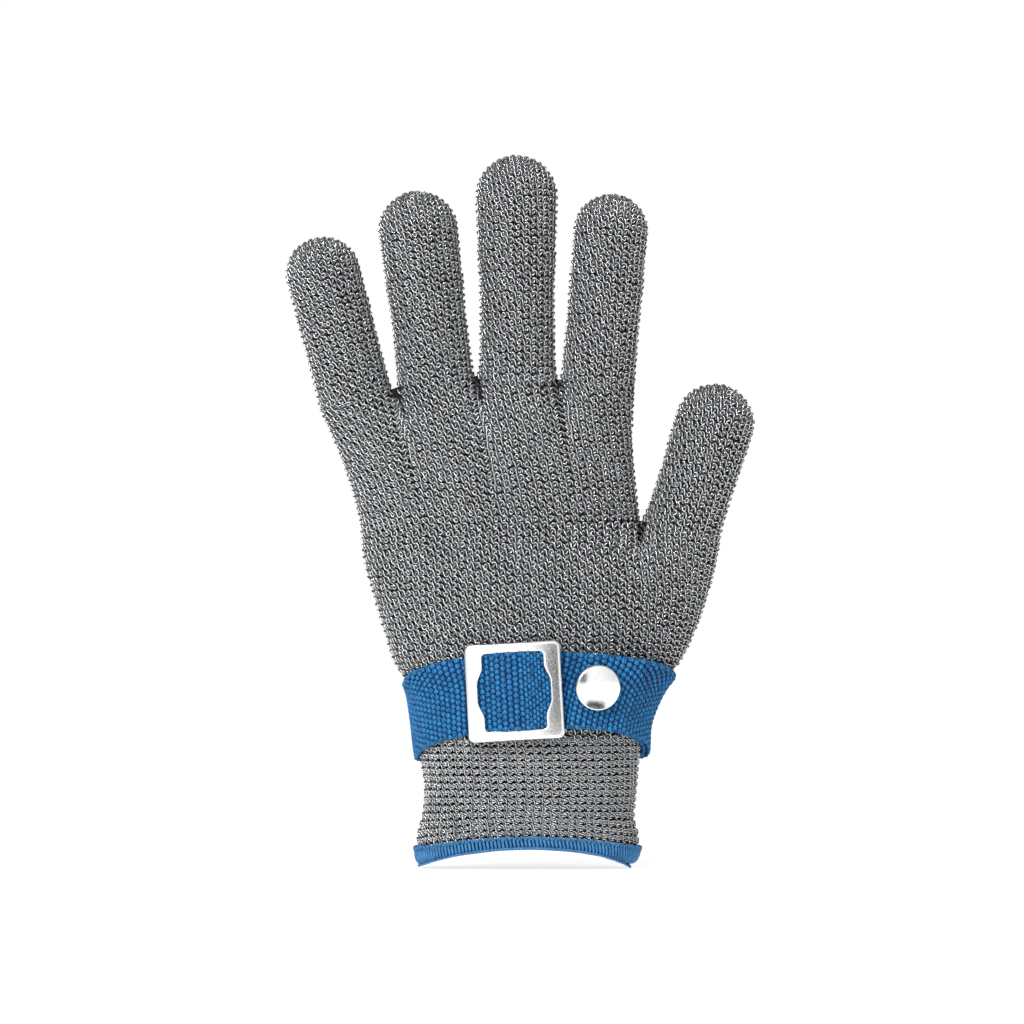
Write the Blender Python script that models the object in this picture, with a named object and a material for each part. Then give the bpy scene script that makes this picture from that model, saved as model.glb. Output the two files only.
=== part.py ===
"""Wire-knit cut resistant glove with a webbing wrist strap, slide buckle and snap fastener.

Every size below is in millimetres, and to_metres() turns it into Blender's metres.
Frame: +Z runs from the wrist opening to the fingertips, +X towards the thumb, and the back
of the hand faces -Y. The origin is the middle of the wrist opening.
"""

import math

import bmesh
import bpy
from mathutils import Matrix, Vector

MM = 0.001

# Driving dimensions ---------------------------------------------------------------------------
KNIT_WALL = 1.6  # thickness of the knitted wall
GAP = 0.35  # between separate solids that would touch
FINGER_FLATNESS = 0.86  # depth of a finger over its width
HINGE_DEPTH = 3.8  # how far a finger's fold line lies on the palm side of its middle
FOLD_GAP = 0.6  # between two finger segments at their fold line
SIDES_FINGER = 14
SIDES_LOBE = 12
CUFF_STEPS = 5

WEBBING_WIDTH = 25.4
WEBBING_THICK = 1.3
STRAP_MIDDLE = 47.6  # height of the strap's middle at the sides of the wrist
STRAP_RISE = 9.9  # how much higher the strap sits on the back of the hand
STRAP_DROP = 3.6  # how much lower it sits on the palm side
STRAP_PEAK_DEG = 8.0  # its highest place lies this far round towards the thumb

CUFF_TOP = 27.0
RIM_HALF_WIDTH = 38.0
RIM_RISE = 5.6  # the rim is this much higher in front and behind than at its sides
HEM_HEIGHT = 4.6
HEM_WALL = 0.8
WRIST_FOLD_DEG = 15.0

# Hinge limits that shape the ends of the segments, in degrees
BASE_FOLD_DEG = 60.0
MIDDLE_FOLD_DEG = 80.0
TIP_FOLD_DEG = 50.0
THUMB_BASE_FOLD_DEG = 45.0
THUMB_TIP_FOLD_DEG = 60.0
FOLD_SPARE_DEG = 1.5  # how much more room than that each fold has

# The points between the fingers, from the outer side of the little finger to that of the index
WEB_POINTS = ((-68.2, 148.2), (-43.8, 154.7), (-17.6, 158.3), (9.75, 157.6), (34.5, 156.3))
THUMB_CROTCH = (36.0, 112.0)
THUMB_OUTSIDE = (62.0, 105.0)

# Each finger: where its left and right edges start, the centre and radius of its round tip,
# its narrowest half width, and how far along its length it folds
FINGERS = {
    "little": {"base": (WEB_POINTS[0], (-44.5, 154.6)), "tip": (-66.9, 192.2), "radius": 12.6, "waist": 12},
    "ring": {"base": ((-43.0, 154.9), WEB_POINTS[2]), "tip": (-36.1, 206.4), "radius": 13.3, "waist": 12.3},
    "middle": {"base": WEB_POINTS[2:4], "tip": (-4.2, 217.7), "radius": 13.6, "waist": 12.2},
    "index": {"base": WEB_POINTS[3:5], "tip": (26.5, 206.2), "radius": 12.5, "waist": 11.9},
    "thumb": {"base": ((37.0, 111.7), THUMB_OUTSIDE), "tip": (60.1, 143.6), "radius": 13.0, "waist": 12.5},
}
WEB_ROUNDING = 3.0  # a finger narrows this quickly above its base
FINGER_FOLDS = (0.0, 0.42, 0.71)
THUMB_FOLDS = (0.0, 0.62)

# Cross-sections of the hand below the fingers. Each holds the points that the section passes
# through from the little finger's side to the thumb's, its half depth, and how far it is
# split into lobes that lead into the fingers.
CUFF_SECTIONS = (
    (((-38.0, 0.0), (38.0, 0.0)), 24.5, 0),
    (((-37.0, 8.5), (36.4, 8.5)), 24.0, 0),
    (((-35.2, 15.0), (34.2, 15.0)), 23.3, 0),
    (((-34.4, 21.5), (34.6, 21.5)), 23.0, 0),
    (((-34.3, CUFF_TOP), (35.2, CUFF_TOP)), 23.5, 0),
)
HEEL_SECTIONS = (
    (((-34.3, 27.5), (22.0, 27.5), (35.2, 27.5)), 23.6, 0),
    (((-36.2, 38.0), (23.5, 38.0), (36.0, 38.0)), 24.6, 0),
    (((-37.2, 47.0), (25.0, 47.0), (36.7, 47.0)), 25.2, 0),
    (((-39.2, 58.0), (27.5, 58.0), (41.6, 58.0)), 25.2, 0),
    (((-43.9, 66.0), (30.0, 66.5), (48.7, 66.0)), 24.6, 0),
    (((-47.4, 76.5), (32.0, 77.0), (53.6, 75.5)), 23.6, 0),
    (((-51.0, 88.5), (34.0, 89.5), (57.4, 86.0)), 21.4, 0),
    (((-54.0, 100.0), (35.5, 101.0), (60.0, 95.5)), 19.8, 0.15),
    (((-55.0, 111.0), THUMB_CROTCH, THUMB_OUTSIDE), 17.0, 0.92),
)
PALM_SECTIONS = (
    (((-55.0, 111.5), (-32.0, 111.8), (-9.0, 112.0), (14.0, 112.3), (34.9, 112.6)), 17.0, 0),
    (((-58.6, 125.0), (-34.6, 128.0), (-10.5, 129.8), (12.8, 129.8), (34.0, 129.4)), 16.4, 0),
    (((-64.2, 139.5), (-39.6, 144.2), (-14.2, 146.6), (11.0, 146.0), (33.6, 145.0)), 14.8, 0.2),
    (tuple((x, z - FOLD_GAP) for x, z in WEB_POINTS), 12.0, 0.75),
)
PALM_LOBE_DEPTHS = (10.6, 11.0, 11.4, 10.8)
HEEL_LOBE_DEPTHS = (17.0, 11.2)
SECTION_POWER = 2.15  # 2 is an ellipse, more is squarer

# The strap's hardware, in its own flat frame: across the hand, along it, and out from the strap
BUCKLE_X = -4.7
BUCKLE_WIDTH = 31.0
BUCKLE_HEIGHT = 31.6
BUCKLE_CORNER = 2.2
BUCKLE_SHEET = 1.0
BUCKLE_DEPTH = 2.4
BUCKLE_SLIDE_RADIUS = 62.0  # the buckle slides on this curve, which is the wrist's own
OPENING_HALF_WIDTH = 10.0
OPENING_BULGE = 1.9  # the opening's sides bow out this much in the middle
OPENING_HALF_HEIGHT = 12.6
BAR_HALF_WIDTH = 1.7
SNAP_X = 20.0
SNAP_UP = 2.0  # how far the snap is above the middle of the strap
SNAP_CAP_RADIUS = 7.5
BAND_END_X = 12.5
FLAP_START_X = 13.1
FLAP_END_DEG = 118.0
INNER_END_X = 15.4
FLAP_START_LEVEL = 0.9  # how far the flap's inner face is from the knit where it starts
FLAP_HINGE_LEVEL = 3.0  # just above that end's outer face, so that the flap clears the buckle
SNAP_LIFT = 3.8  # how far the flap's inner face is from the knit, over the snap
BAND_SEGMENTS = 44
FLAP_SEGMENTS = 20
BRIDGE_STEPS = 16
BRIDGE_SLOPE = 6.5  # length over which the webbing climbs to the buckle's bar


def to_metres(point):
    return Vector(point) * MM


def smoothstep(t):
    t = min(1.0, max(0.0, t))
    return t * t * (3 - 2 * t)


def blend(a, b, t):
    return a + (b - a) * t


def catmull_rom(rows, t):
    """A smooth curve through equally spaced rows of numbers, for t from 0 to 1."""
    last = len(rows) - 1
    place = min(max(t, 0.0), 1.0) * last
    i = min(int(place), last - 1)
    f = place - i
    p0, p1, p2, p3 = (rows[min(max(k, 0), last)] for k in (i - 1, i, i + 1, i + 2))
    return [
        0.5 * (2 * b + (c - a) * f + (2 * a - 5 * b + 4 * c - d) * f**2 + (3 * b - a - 3 * c + d) * f**3)
        for a, b, c, d in zip(p0, p1, p2, p3)
    ]


# The glove's surface --------------------------------------------------------------------------
def section_row(section):
    """One cross-section as a plain row of numbers, so that sections can be interpolated."""
    points, depth, split = section
    return [number for point in points for number in point] + [depth, split]


def lobe_edges(points):
    """How far along the section each of its points lies, from 0 to 1."""
    along = [0.0]
    for a, b in zip(points, points[1:]):
        along.append(along[-1] + math.dist(a, b))
    return [a / along[-1] for a in along]


def section_half_depth(u, edges, depth, split, lobe_depths):
    merged = depth * max(0.0, 1 - abs(2 * u - 1) ** SECTION_POWER) ** (1 / SECTION_POWER)
    if split <= 0:
        return merged
    lobe = max(k for k in range(len(edges) - 1) if u >= edges[k] - 1e-9)
    middle = (edges[lobe] + edges[lobe + 1]) / 2
    half = (edges[lobe + 1] - edges[lobe]) / 2
    bump = lobe_depths[lobe] * math.sqrt(max(0.0, 1 - ((u - middle) / half) ** 2))
    return blend(merged, bump, split)


def section_samples(edges, per_lobe):
    """Places along the section, closer together beside each edge where the wall turns."""
    samples = []
    for a, b in zip(edges, edges[1:]):
        for k in range(per_lobe):
            samples.append((a + b) / 2 - (b - a) / 2 * math.cos(math.pi * k / per_lobe))
    return samples + [1.0]


def section_ring(row, lobe_depths, per_lobe):
    """The closed ring of one section: along the back of the hand, then home along the palm."""
    depth, split = row[-2:]
    points = list(zip(row[:-2:2], row[1:-2:2]))
    edges = lobe_edges(points)
    samples = section_samples(edges, per_lobe)
    back, palm = [], []
    for u in samples:
        lobe = min(max(k for k in range(len(points)) if u >= edges[k] - 1e-9), len(points) - 2)
        f = (u - edges[lobe]) / (edges[lobe + 1] - edges[lobe])
        x = blend(points[lobe][0], points[lobe + 1][0], f)
        z = blend(points[lobe][1], points[lobe + 1][1], f)
        y = section_half_depth(u, edges, depth, split, lobe_depths)
        back.append(Vector((x, -y, z)))
        palm.append(Vector((x, y, z)))
    return back + palm[-2:0:-1]


def hand_rings(sections, lobe_depths, count, per_lobe):
    rows = [section_row(s) for s in sections]
    steps = [k / (count - 1) for k in range(count)]
    return [section_ring(catmull_rom(rows, t), lobe_depths, per_lobe) for t in steps]


class Finger:
    """A finger's tube: a straight axis, elliptical rings that narrow at the waist, a round tip."""

    def __init__(self, shape):
        self.left, self.right = (Vector((x, 0, z)) for x, z in shape["base"])
        self.start = (self.left + self.right) / 2
        tip = Vector((shape["tip"][0], 0, shape["tip"][1]))
        self.straight = (tip - self.start).length
        self.axis = (tip - self.start).normalized()
        self.across = Vector((self.axis.z, 0, -self.axis.x))
        self.radius = shape["radius"]
        self.waist = shape["waist"]
        self.length = self.straight + self.radius

    def half_width(self, s):
        if s > self.straight:
            return math.sqrt(max(0.0, self.radius**2 - (s - self.straight) ** 2))
        base = (self.right - self.left).length / 2 - GAP
        near_tip = blend(self.waist, self.radius, 0.7)
        widths = ([self.waist], [self.waist], [self.waist], [near_tip], [self.radius])
        width = catmull_rom(widths, s / self.straight)[0]
        return blend(width, base, math.exp(-s / WEB_ROUNDING))

    def ring(self, s, sides, bend=0.0):
        """The ring at s along the axis. bend slides the palm side along the axis, for a fold."""
        half = self.half_width(s)
        ring = []
        for k in range(sides):
            angle = 2 * math.pi * k / sides
            depth = -FINGER_FLATNESS * half * math.sin(angle)
            slide = bend * max(0.0, depth - HINGE_DEPTH)
            centre = self.start + self.axis * (s + slide)
            ring.append(centre - self.across * half * math.cos(angle) + Vector((0, depth, 0)))
        return ring


# Building meshes --------------------------------------------------------------------------------
def material(name, colour, roughness, metallic):
    made = bpy.data.materials.new(name)
    made.use_nodes = True
    shader = made.node_tree.nodes["Principled BSDF"]
    shader.inputs["Base Color"].default_value = (*colour, 1.0)
    shader.inputs["Roughness"].default_value = roughness
    shader.inputs["Metallic"].default_value = metallic
    return made


def new_object(name, bm, finish, smooth_angle=40.0):
    """Turns a bmesh in millimetres into a named object in metres."""
    bmesh.ops.recalc_face_normals(bm, faces=bm.faces)
    mesh = bpy.data.meshes.new(name)
    bm.to_mesh(mesh)
    bm.free()
    mesh.transform(Matrix.Scale(MM, 4))
    mesh.shade_smooth()
    mesh.set_sharp_from_angle(angle=math.radians(smooth_angle))
    mesh.materials.append(finish)
    obj = bpy.data.objects.new(name, mesh)
    bpy.context.scene.collection.objects.link(obj)
    return obj


def move_origin(obj, pivot):
    """Puts the object's origin at pivot, in millimetres, and leaves its shape where it is."""
    obj.data.transform(Matrix.Translation(-to_metres(pivot)))
    obj.location = to_metres(pivot)


def loop_of(bm, points):
    verts = [bm.verts.new(p) for p in points]
    edges = [bm.edges.new((a, b)) for a, b in zip(verts, verts[1:] + verts[:1])]
    return verts, edges


def skin_rings(bm, rings):
    """Quads between rings that hold the same number of points, first to last."""
    loops = [loop_of(bm, ring)[0] for ring in rings]
    for lower, upper in zip(loops, loops[1:]):
        for k in range(len(lower)):
            n = (k + 1) % len(lower)
            bm.faces.new((lower[k], lower[n], upper[n], upper[k]))
    return loops


def knit_tube(name, rings, finish, closed_tip=None):
    """A tube of knitted wall through rings, open at both ends or closed at the last one."""
    bm = bmesh.new()
    loops = skin_rings(bm, rings)
    if closed_tip is not None:
        apex = bm.verts.new(closed_tip)
        last = loops[-1]
        for k in range(len(last)):
            bm.faces.new((last[k], last[(k + 1) % len(last)], apex))
    obj = new_object(name, bm, finish)
    wall = obj.modifiers.new("wall", "SOLIDIFY")
    wall.thickness = KNIT_WALL * MM
    wall.offset = -1.0
    wall.use_even_offset = False
    return obj


def lofted_ring(name, profile_rings, finish):
    """A closed ring whose cross-section loops are profile_rings, joined first to last to first."""
    bm = bmesh.new()
    loops = [loop_of(bm, ring)[0] for ring in profile_rings]
    for lower, upper in zip(loops, loops[1:] + loops[:1]):
        for k in range(len(lower)):
            n = (k + 1) % len(lower)
            bm.faces.new((lower[k], lower[n], upper[n], upper[k]))
    return new_object(name, bm, finish)


def turned(name, profile, finish, frame, sides=28):
    """A solid of revolution: profile holds (radius, height) pairs, frame places its axis."""
    bm = bmesh.new()
    verts = [bm.verts.new((max(r, 0.0), 0, h)) for r, h in profile]
    edges = [bm.edges.new((a, b)) for a, b in zip(verts, verts[1:])]
    if profile[0][0] > 0 and profile[-1][0] > 0:
        edges.append(bm.edges.new((verts[-1], verts[0])))
    around = {"cent": (0, 0, 0), "axis": (0, 0, 1), "angle": 2 * math.pi, "steps": sides}
    bmesh.ops.spin(bm, geom=verts + edges, use_merge=True, **around)
    bmesh.ops.remove_doubles(bm, verts=bm.verts, dist=1e-4)
    bmesh.ops.transform(bm, matrix=frame, verts=bm.verts)
    return new_object(name, bm, finish)


# Knitted parts ----------------------------------------------------------------------------------
def finger_nodes(name, folds_deg, places, knit):
    """One tube for each segment between the finger's fold lines, each with its origin there."""
    finger = Finger(FINGERS[name])
    labels = ("proximal", "middle", "distal") if len(places) == 3 else ("proximal", "distal")
    for i, label in enumerate(labels):
        start = places[i] * finger.length
        tangent = math.tan(math.radians(folds_deg[i] / 2 + FOLD_SPARE_DEG))
        last = i + 1 == len(places)
        low = start + FOLD_GAP / 2
        rings = [finger.ring(low, SIDES_FINGER, tangent)]
        if i == 0:
            rings.append(finger.ring(low + 2 * WEB_ROUNDING, SIDES_FINGER, tangent / 2))
        if last:
            turn = [finger.straight + finger.radius * math.sin(math.radians(a)) for a in (0, 32, 58, 78)]
            rings += [finger.ring(s, SIDES_FINGER) for s in turn]
            tip = finger.start + finger.axis * finger.length
        else:
            high = places[i + 1] * finger.length - FOLD_GAP / 2
            next_tangent = math.tan(math.radians(folds_deg[i + 1] / 2 + FOLD_SPARE_DEG))
            rings.append(finger.ring(blend(low, high, 0.5), SIDES_FINGER))
            rings.append(finger.ring(high, SIDES_FINGER, -next_tangent))
            tip = None
        obj = knit_tube(f"{name}_{label}", rings, knit, tip)
        move_origin(obj, finger.start + finger.axis * start + Vector((0, HINGE_DEPTH, 0)))


def notch_palm(rings):
    """Lowers the palm side of the knuckle edge, so that a folding finger has room."""
    tangent = math.tan(math.radians(BASE_FOLD_DEG / 2 + FOLD_SPARE_DEG))
    for point in rings[-1]:
        point.z -= tangent * max(0.0, point.y - HINGE_DEPTH)


def notch_heel(rings):
    """The same for the thumb, on the part of the heel's edge that it stands on."""
    tangent = math.tan(math.radians(THUMB_BASE_FOLD_DEG / 2 + FOLD_SPARE_DEG))
    for point in rings[-1]:
        if point.x > THUMB_CROTCH[0] - 1:
            point.z -= tangent * max(0.0, point.y - HINGE_DEPTH) + FOLD_GAP


def rim_height(x):
    """How far the wrist's rim rises above its lowest points, at x across it."""
    return RIM_RISE * (1 - min(1.0, abs(x) / RIM_HALF_WIDTH) ** 2)


def cuff_ring(t):
    """The cuff's ring at t, from 0 in the hem's channel to 1 at the wrist's fold."""
    rows = [section_row(s) for s in CUFF_SECTIONS]
    ring = section_ring(catmull_rom(rows, t), (), SIDES_LOBE * 2)
    for point in ring:
        point.z += (1 - t) ** 2 * (rim_height(point.x) + HEM_WALL + GAP)
    return ring


def cuff_rings():
    """The cuff's rings, with its top edge lowered front and back to leave room for the fold."""
    shares = [k / CUFF_STEPS for k in range(CUFF_STEPS + 1)]
    rings = [cuff_ring(share) for share in shares]
    tangent = math.tan(math.radians(WRIST_FOLD_DEG + FOLD_SPARE_DEG))
    for share, ring in zip(shares, rings):
        for point in ring:
            point.z -= share * (FOLD_GAP + tangent * abs(point.y))
    return rings


def hem(blue):
    """The overlocked edge: a channel that holds the cuff's lower edge and follows its taper."""
    edge = cuff_ring(0)
    above = cuff_ring(0.25)

    def offset(out, up):
        moved = []
        for k, (low, high) in enumerate(zip(edge, above)):
            along = edge[(k + 1) % len(edge)] - edge[k - 1]
            normal = Vector((along.y, -along.x, 0)).normalized()
            if normal.dot(Vector((low.x, low.y, 0))) < 0:
                normal = -normal
            slope = (high - low) / (high.z - low.z)
            moved.append(low + slope * (up - HEM_WALL - GAP) + normal * out)
        return moved

    outer, inner = GAP + HEM_WALL, -(KNIT_WALL + GAP + HEM_WALL)
    profile = (
        (outer, 0.5),
        (outer, HEM_HEIGHT),
        (GAP, HEM_HEIGHT),
        (GAP, HEM_WALL),
        (-KNIT_WALL - GAP, HEM_WALL),
        (-KNIT_WALL - GAP, HEM_HEIGHT),
        (inner, HEM_HEIGHT),
        (inner, 0.5),
        (inner + 0.7, 0.0),
        (outer - 0.7, 0.0),
    )
    return lofted_ring("cuff_hem", [offset(out, up) for out, up in profile], blue)


# Strap ------------------------------------------------------------------------------------------
HEEL_ROWS = [section_row(s) for s in HEEL_SECTIONS]


def wrist_at(height):
    """(middle x, half width, half depth) of the knitted wall at a height, found by bisection."""
    low, high = 0.0, 1.0
    for _ in range(30):
        t = (low + high) / 2
        row = catmull_rom(HEEL_ROWS, t)
        low, high = (t, high) if (row[1] + row[5]) / 2 < height else (low, t)
    return (row[0] + row[4]) / 2, (row[4] - row[0]) / 2, row[6]


def wrist_point(angle, height, out):
    """A point at angle round the wrist, out from the knit. Angle 0 faces -Y, 90 the thumb."""
    middle, half_width, half_depth = wrist_at(height)
    c, s = math.sin(math.radians(angle)), math.cos(math.radians(angle))
    power = 2 / SECTION_POWER
    x = math.copysign(abs(c) ** power, c) * half_width
    y = -math.copysign(abs(s) ** power, s) * half_depth
    outward_x = math.copysign(abs(c) ** (2 - power), c) / half_width
    outward_y = -math.copysign(abs(s) ** (2 - power), s) / half_depth
    return Vector((middle + x, y, height)) + Vector((outward_x, outward_y, 0)).normalized() * out


def strap_height(angle, across):
    """The height of the strap's point at angle round the wrist, across its width from 0 to 1."""
    turn = math.cos(math.radians(angle - STRAP_PEAK_DEG))
    rise = (STRAP_RISE if turn > 0 else STRAP_DROP) * turn
    return STRAP_MIDDLE + rise + (across - 0.5) * WEBBING_WIDTH


def strap_point(angle, across, out):
    """A point at angle round the wrist, across the strap from 0 to 1, and out from the knit."""
    return wrist_point(angle, strap_height(angle, across), out)


def angle_at(x):
    """The angle on the back of the hand at which the strap's middle line is at x."""
    low, high = -90.0, 90.0
    for _ in range(40):
        angle = (low + high) / 2
        low, high = (angle, high) if strap_point(angle, 0.5, 0).x < x else (low, angle)
    return angle


def strap_band(name, angles, level, finish):
    """Webbing along angles round the wrist. level(angle) is how far its inner face is out."""
    bm = bmesh.new()
    rings = []
    for angle in angles:
        near, far = level(angle), level(angle) + WEBBING_THICK
        outline = ((0, near), (0.5, near), (1, near), (1, far), (0.5, far), (0, far))
        rings.append([strap_point(angle, across, out) for across, out in outline])
    loops = skin_rings(bm, rings)
    bm.faces.new(loops[0])
    bm.faces.new(loops[-1])
    return new_object(name, bm, finish)


def edge_direction(x, out):
    """The direction from the strap's lower edge to its upper one, at x on its middle line."""
    angle = angle_at(x)
    return (strap_point(angle, 0.9, out) - strap_point(angle, 0.1, out)).normalized()


def hardware_frame(x, out):
    """A frame on the strap at x: its X runs along the strap, Y up the hand, Z out of the strap."""
    angle = angle_at(x)
    along = (strap_point(angle + 2, 0.5, out) - strap_point(angle - 2, 0.5, out)).normalized()
    rise = edge_direction(x, out)
    up = (rise - along * rise.dot(along)).normalized()
    return Matrix((along, up, along.cross(up))).transposed().to_4x4(), strap_point(angle, 0.5, out)


def placed(x, out, up=0.0):
    turn, middle = hardware_frame(x, out)
    return Matrix.Translation(middle) @ turn @ Matrix.Translation((0, up, 0))


def rounded_rectangle(half_width, half_height, radius, per_corner=3):
    """A rectangle's outline with round corners, counter-clockwise from its right side."""
    points = []
    for quarter, (sx, sy) in enumerate(((1, 1), (-1, 1), (-1, -1), (1, -1))):
        centre = Vector((sx * (half_width - radius), sy * (half_height - radius)))
        for k in range(per_corner + 1):
            angle = math.pi / 2 * (quarter + k / per_corner)
            points.append(centre + Vector((math.cos(angle), math.sin(angle))) * radius)
    return points


def with_sides(outline, count, bulge=0.0):
    """The outline with extra points along its two upright sides, bowed out by bulge."""
    quarter = len(outline) // 4
    result = []
    for i, point in enumerate(outline):
        result.append(point)
        if i in (2 * quarter - 1, 4 * quarter - 1):
            other = outline[(i + 1) % len(outline)]
            for k in range(1, count):
                t = k / count
                bow = bulge * smoothstep((t - 0.12) / 0.26) * smoothstep((0.88 - t) / 0.26)
                side = math.copysign(1, point.x)
                result.append(point.lerp(other, t) + Vector((side * bow, 0)))
    return result


def buckle(steel):
    """A stamped frame with a turned-down edge, a bowed opening and a bar across its middle."""
    frame = placed(BUCKLE_X, GAP + WEBBING_THICK + GAP)
    half_width, half_height = BUCKLE_WIDTH / 2, BUCKLE_HEIGHT / 2
    outer, soft, inside = (
        with_sides(rounded_rectangle(half_width - inset, half_height - inset, BUCKLE_CORNER - inset), 8)
        for inset in (0.0, 0.5, 0.9)
    )
    opening = with_sides(rounded_rectangle(OPENING_HALF_WIDTH, OPENING_HALF_HEIGHT, 1.2), 8, OPENING_BULGE)
    top, under = BUCKLE_DEPTH, BUCKLE_DEPTH - BUCKLE_SHEET
    outside_levels = ((outer, 0), (outer, top - 0.4), (soft, top), (opening, top))
    levels = outside_levels + ((opening, under), (inside, under), (inside, 0))
    bm = bmesh.new()
    loops = [loop_of(bm, [(p.x, p.y, z) for p in outline])[0] for outline, z in levels]
    for lower, upper in zip(loops, loops[1:] + loops[:1]):
        for k in range(len(lower)):
            n = (k + 1) % len(lower)
            bm.faces.new((lower[k], lower[n], upper[n], upper[k]))
    bmesh.ops.transform(bm, matrix=frame, verts=bm.verts)
    made = new_object("buckle_frame", bm, steel)

    bm = bmesh.new()
    bmesh.ops.create_cube(bm, size=1.0)
    size = (2 * BAR_HALF_WIDTH, 2 * OPENING_HALF_HEIGHT + 2.4, BUCKLE_SHEET)
    bmesh.ops.scale(bm, vec=size, verts=bm.verts)
    bmesh.ops.translate(bm, vec=(0, 0, under + BUCKLE_SHEET / 2 - 0.1), verts=bm.verts)
    bmesh.ops.transform(bm, matrix=frame, verts=bm.verts)
    bar = new_object("bar_helper", bm, steel)
    bar.hide_render = True
    bar.display_type = "WIRE"
    join = made.modifiers.new("bar", "BOOLEAN")
    join.operation = "UNION"
    join.object = bar
    return made


def strap_bridge(blue):
    """The webbing that rises over the buckle's bar and goes down under its two sides."""
    frame = placed(BUCKLE_X, GAP + WEBBING_THICK + GAP)
    reach = BUCKLE_WIDTH / 2 - 0.9 - GAP
    crest = BUCKLE_DEPTH + GAP
    half = OPENING_HALF_HEIGHT - GAP
    bm = bmesh.new()
    rings = []
    for k in range(BRIDGE_STEPS + 1):
        x = blend(-reach, reach, k / BRIDGE_STEPS)
        slope = smoothstep((OPENING_HALF_WIDTH - 0.6 - abs(x)) / BRIDGE_SLOPE)
        low = blend(0.0, crest, slope)
        high = low + blend(BUCKLE_DEPTH - BUCKLE_SHEET - GAP, WEBBING_THICK * 0.9, slope)
        rings.append([(x, -half, low), (x, half, low), (x, half, high), (x, -half, high)])
    loops = skin_rings(bm, rings)
    bm.faces.new(loops[0])
    bm.faces.new(loops[-1])
    bmesh.ops.transform(bm, matrix=frame, verts=bm.verts)
    return new_object("strap_bridge", bm, blue)


def punch(target, x, radius, finish):
    """A round hole through the webbing at x, for a snap's shank."""
    bm = bmesh.new()
    bmesh.ops.create_cone(bm, cap_ends=True, segments=16, radius1=radius, radius2=radius, depth=16)
    bmesh.ops.transform(bm, matrix=placed(x, 2.0, SNAP_UP), verts=bm.verts)
    cutter = new_object(f"{target.name}_punch", bm, finish)
    cutter.hide_render = True
    cutter.display_type = "WIRE"
    cut = target.modifiers.new("punch", "BOOLEAN")
    cut.operation = "DIFFERENCE"
    cut.object = cutter


def band_level(x):
    """The inner face of the strap's inner layer rises a little over the snap's flange."""
    return GAP + 0.4 * smoothstep(1.6 - abs(x - SNAP_X) / 6)


def flap_level(x):
    """The flap climbs over the inner layer's end, then over the snap, and comes back down."""
    over_end = blend(FLAP_START_LEVEL, 2 * GAP + WEBBING_THICK, smoothstep((x - FLAP_START_X) / 1.9))
    lift = SNAP_LIFT - 2 * GAP - WEBBING_THICK
    bump = smoothstep((x - FLAP_START_X) / 2.5) * smoothstep((36.0 - x) / 8.5)
    return over_end + lift * bump


def strap_parts(blue):
    start, end = angle_at(INNER_END_X), 360 + angle_at(BAND_END_X)
    angles = [blend(start, end, k / BAND_SEGMENTS) for k in range(BAND_SEGMENTS + 1)]

    def level_of(angle):
        return band_level(strap_point(angle, 0.5, 0).x) if angle < 90 else GAP

    band = strap_band("strap_band", angles, level_of, blue)
    punch(band, SNAP_X, 1.45, blue)
    first = angle_at(FLAP_START_X)
    angles = [blend(first, FLAP_END_DEG, (k / FLAP_SEGMENTS) ** 1.25) for k in range(FLAP_SEGMENTS + 1)]

    def flap_level_of(angle):
        return flap_level(strap_point(angle, 0.5, 0).x) if angle < 75 else 2 * GAP + WEBBING_THICK

    flap = strap_band("strap_flap", angles, flap_level_of, blue)
    punch(flap, SNAP_X, 1.75, blue)


def snap_parts(steel):
    """Cap and socket on the flap, stud and post on the strap's inner layer."""
    cap_deck = SNAP_LIFT + WEBBING_THICK
    radius = SNAP_CAP_RADIUS
    cap = (
        (0, cap_deck + 2.9),
        (2.6, cap_deck + 2.82),
        (4.8, cap_deck + 2.55),
        (6.4, cap_deck + 2.15),
        (7.2, cap_deck + 1.75),
        (radius, cap_deck + 1.2),
        (radius, cap_deck + 0.4),
        (7.2, cap_deck + 0.15),
        (1.4, cap_deck + 0.15),
        (1.4, cap_deck - WEBBING_THICK - 0.2),
        (0, cap_deck - WEBBING_THICK - 0.2),
    )
    socket = ((2.5, 2.65), (4.5, 2.65), (4.7, 2.75), (4.7, 3.0), (2.5, 3.0))
    post = ((0, 0.12), (3.9, 0.12), (3.9, 0.28), (1.2, 0.3), (1.2, 2.6), (0, 2.6))
    stud = (
        (1.35, 2.3),
        (4.4, 2.3),
        (4.4, 2.5),
        (2.0, 2.5),
        (2.2, 2.85),
        (1.9, 3.1),
        (0, 3.1),
        (0, 2.75),
        (1.35, 2.75),
    )
    frame = placed(SNAP_X, 0.0, SNAP_UP)
    turned("snap_cap", cap, steel, frame, 26)
    turned("snap_socket", socket, steel, frame, 20)
    turned("snap_post", post, steel, frame, 16)
    turned("snap_stud", stud, steel, frame, 16)


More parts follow.
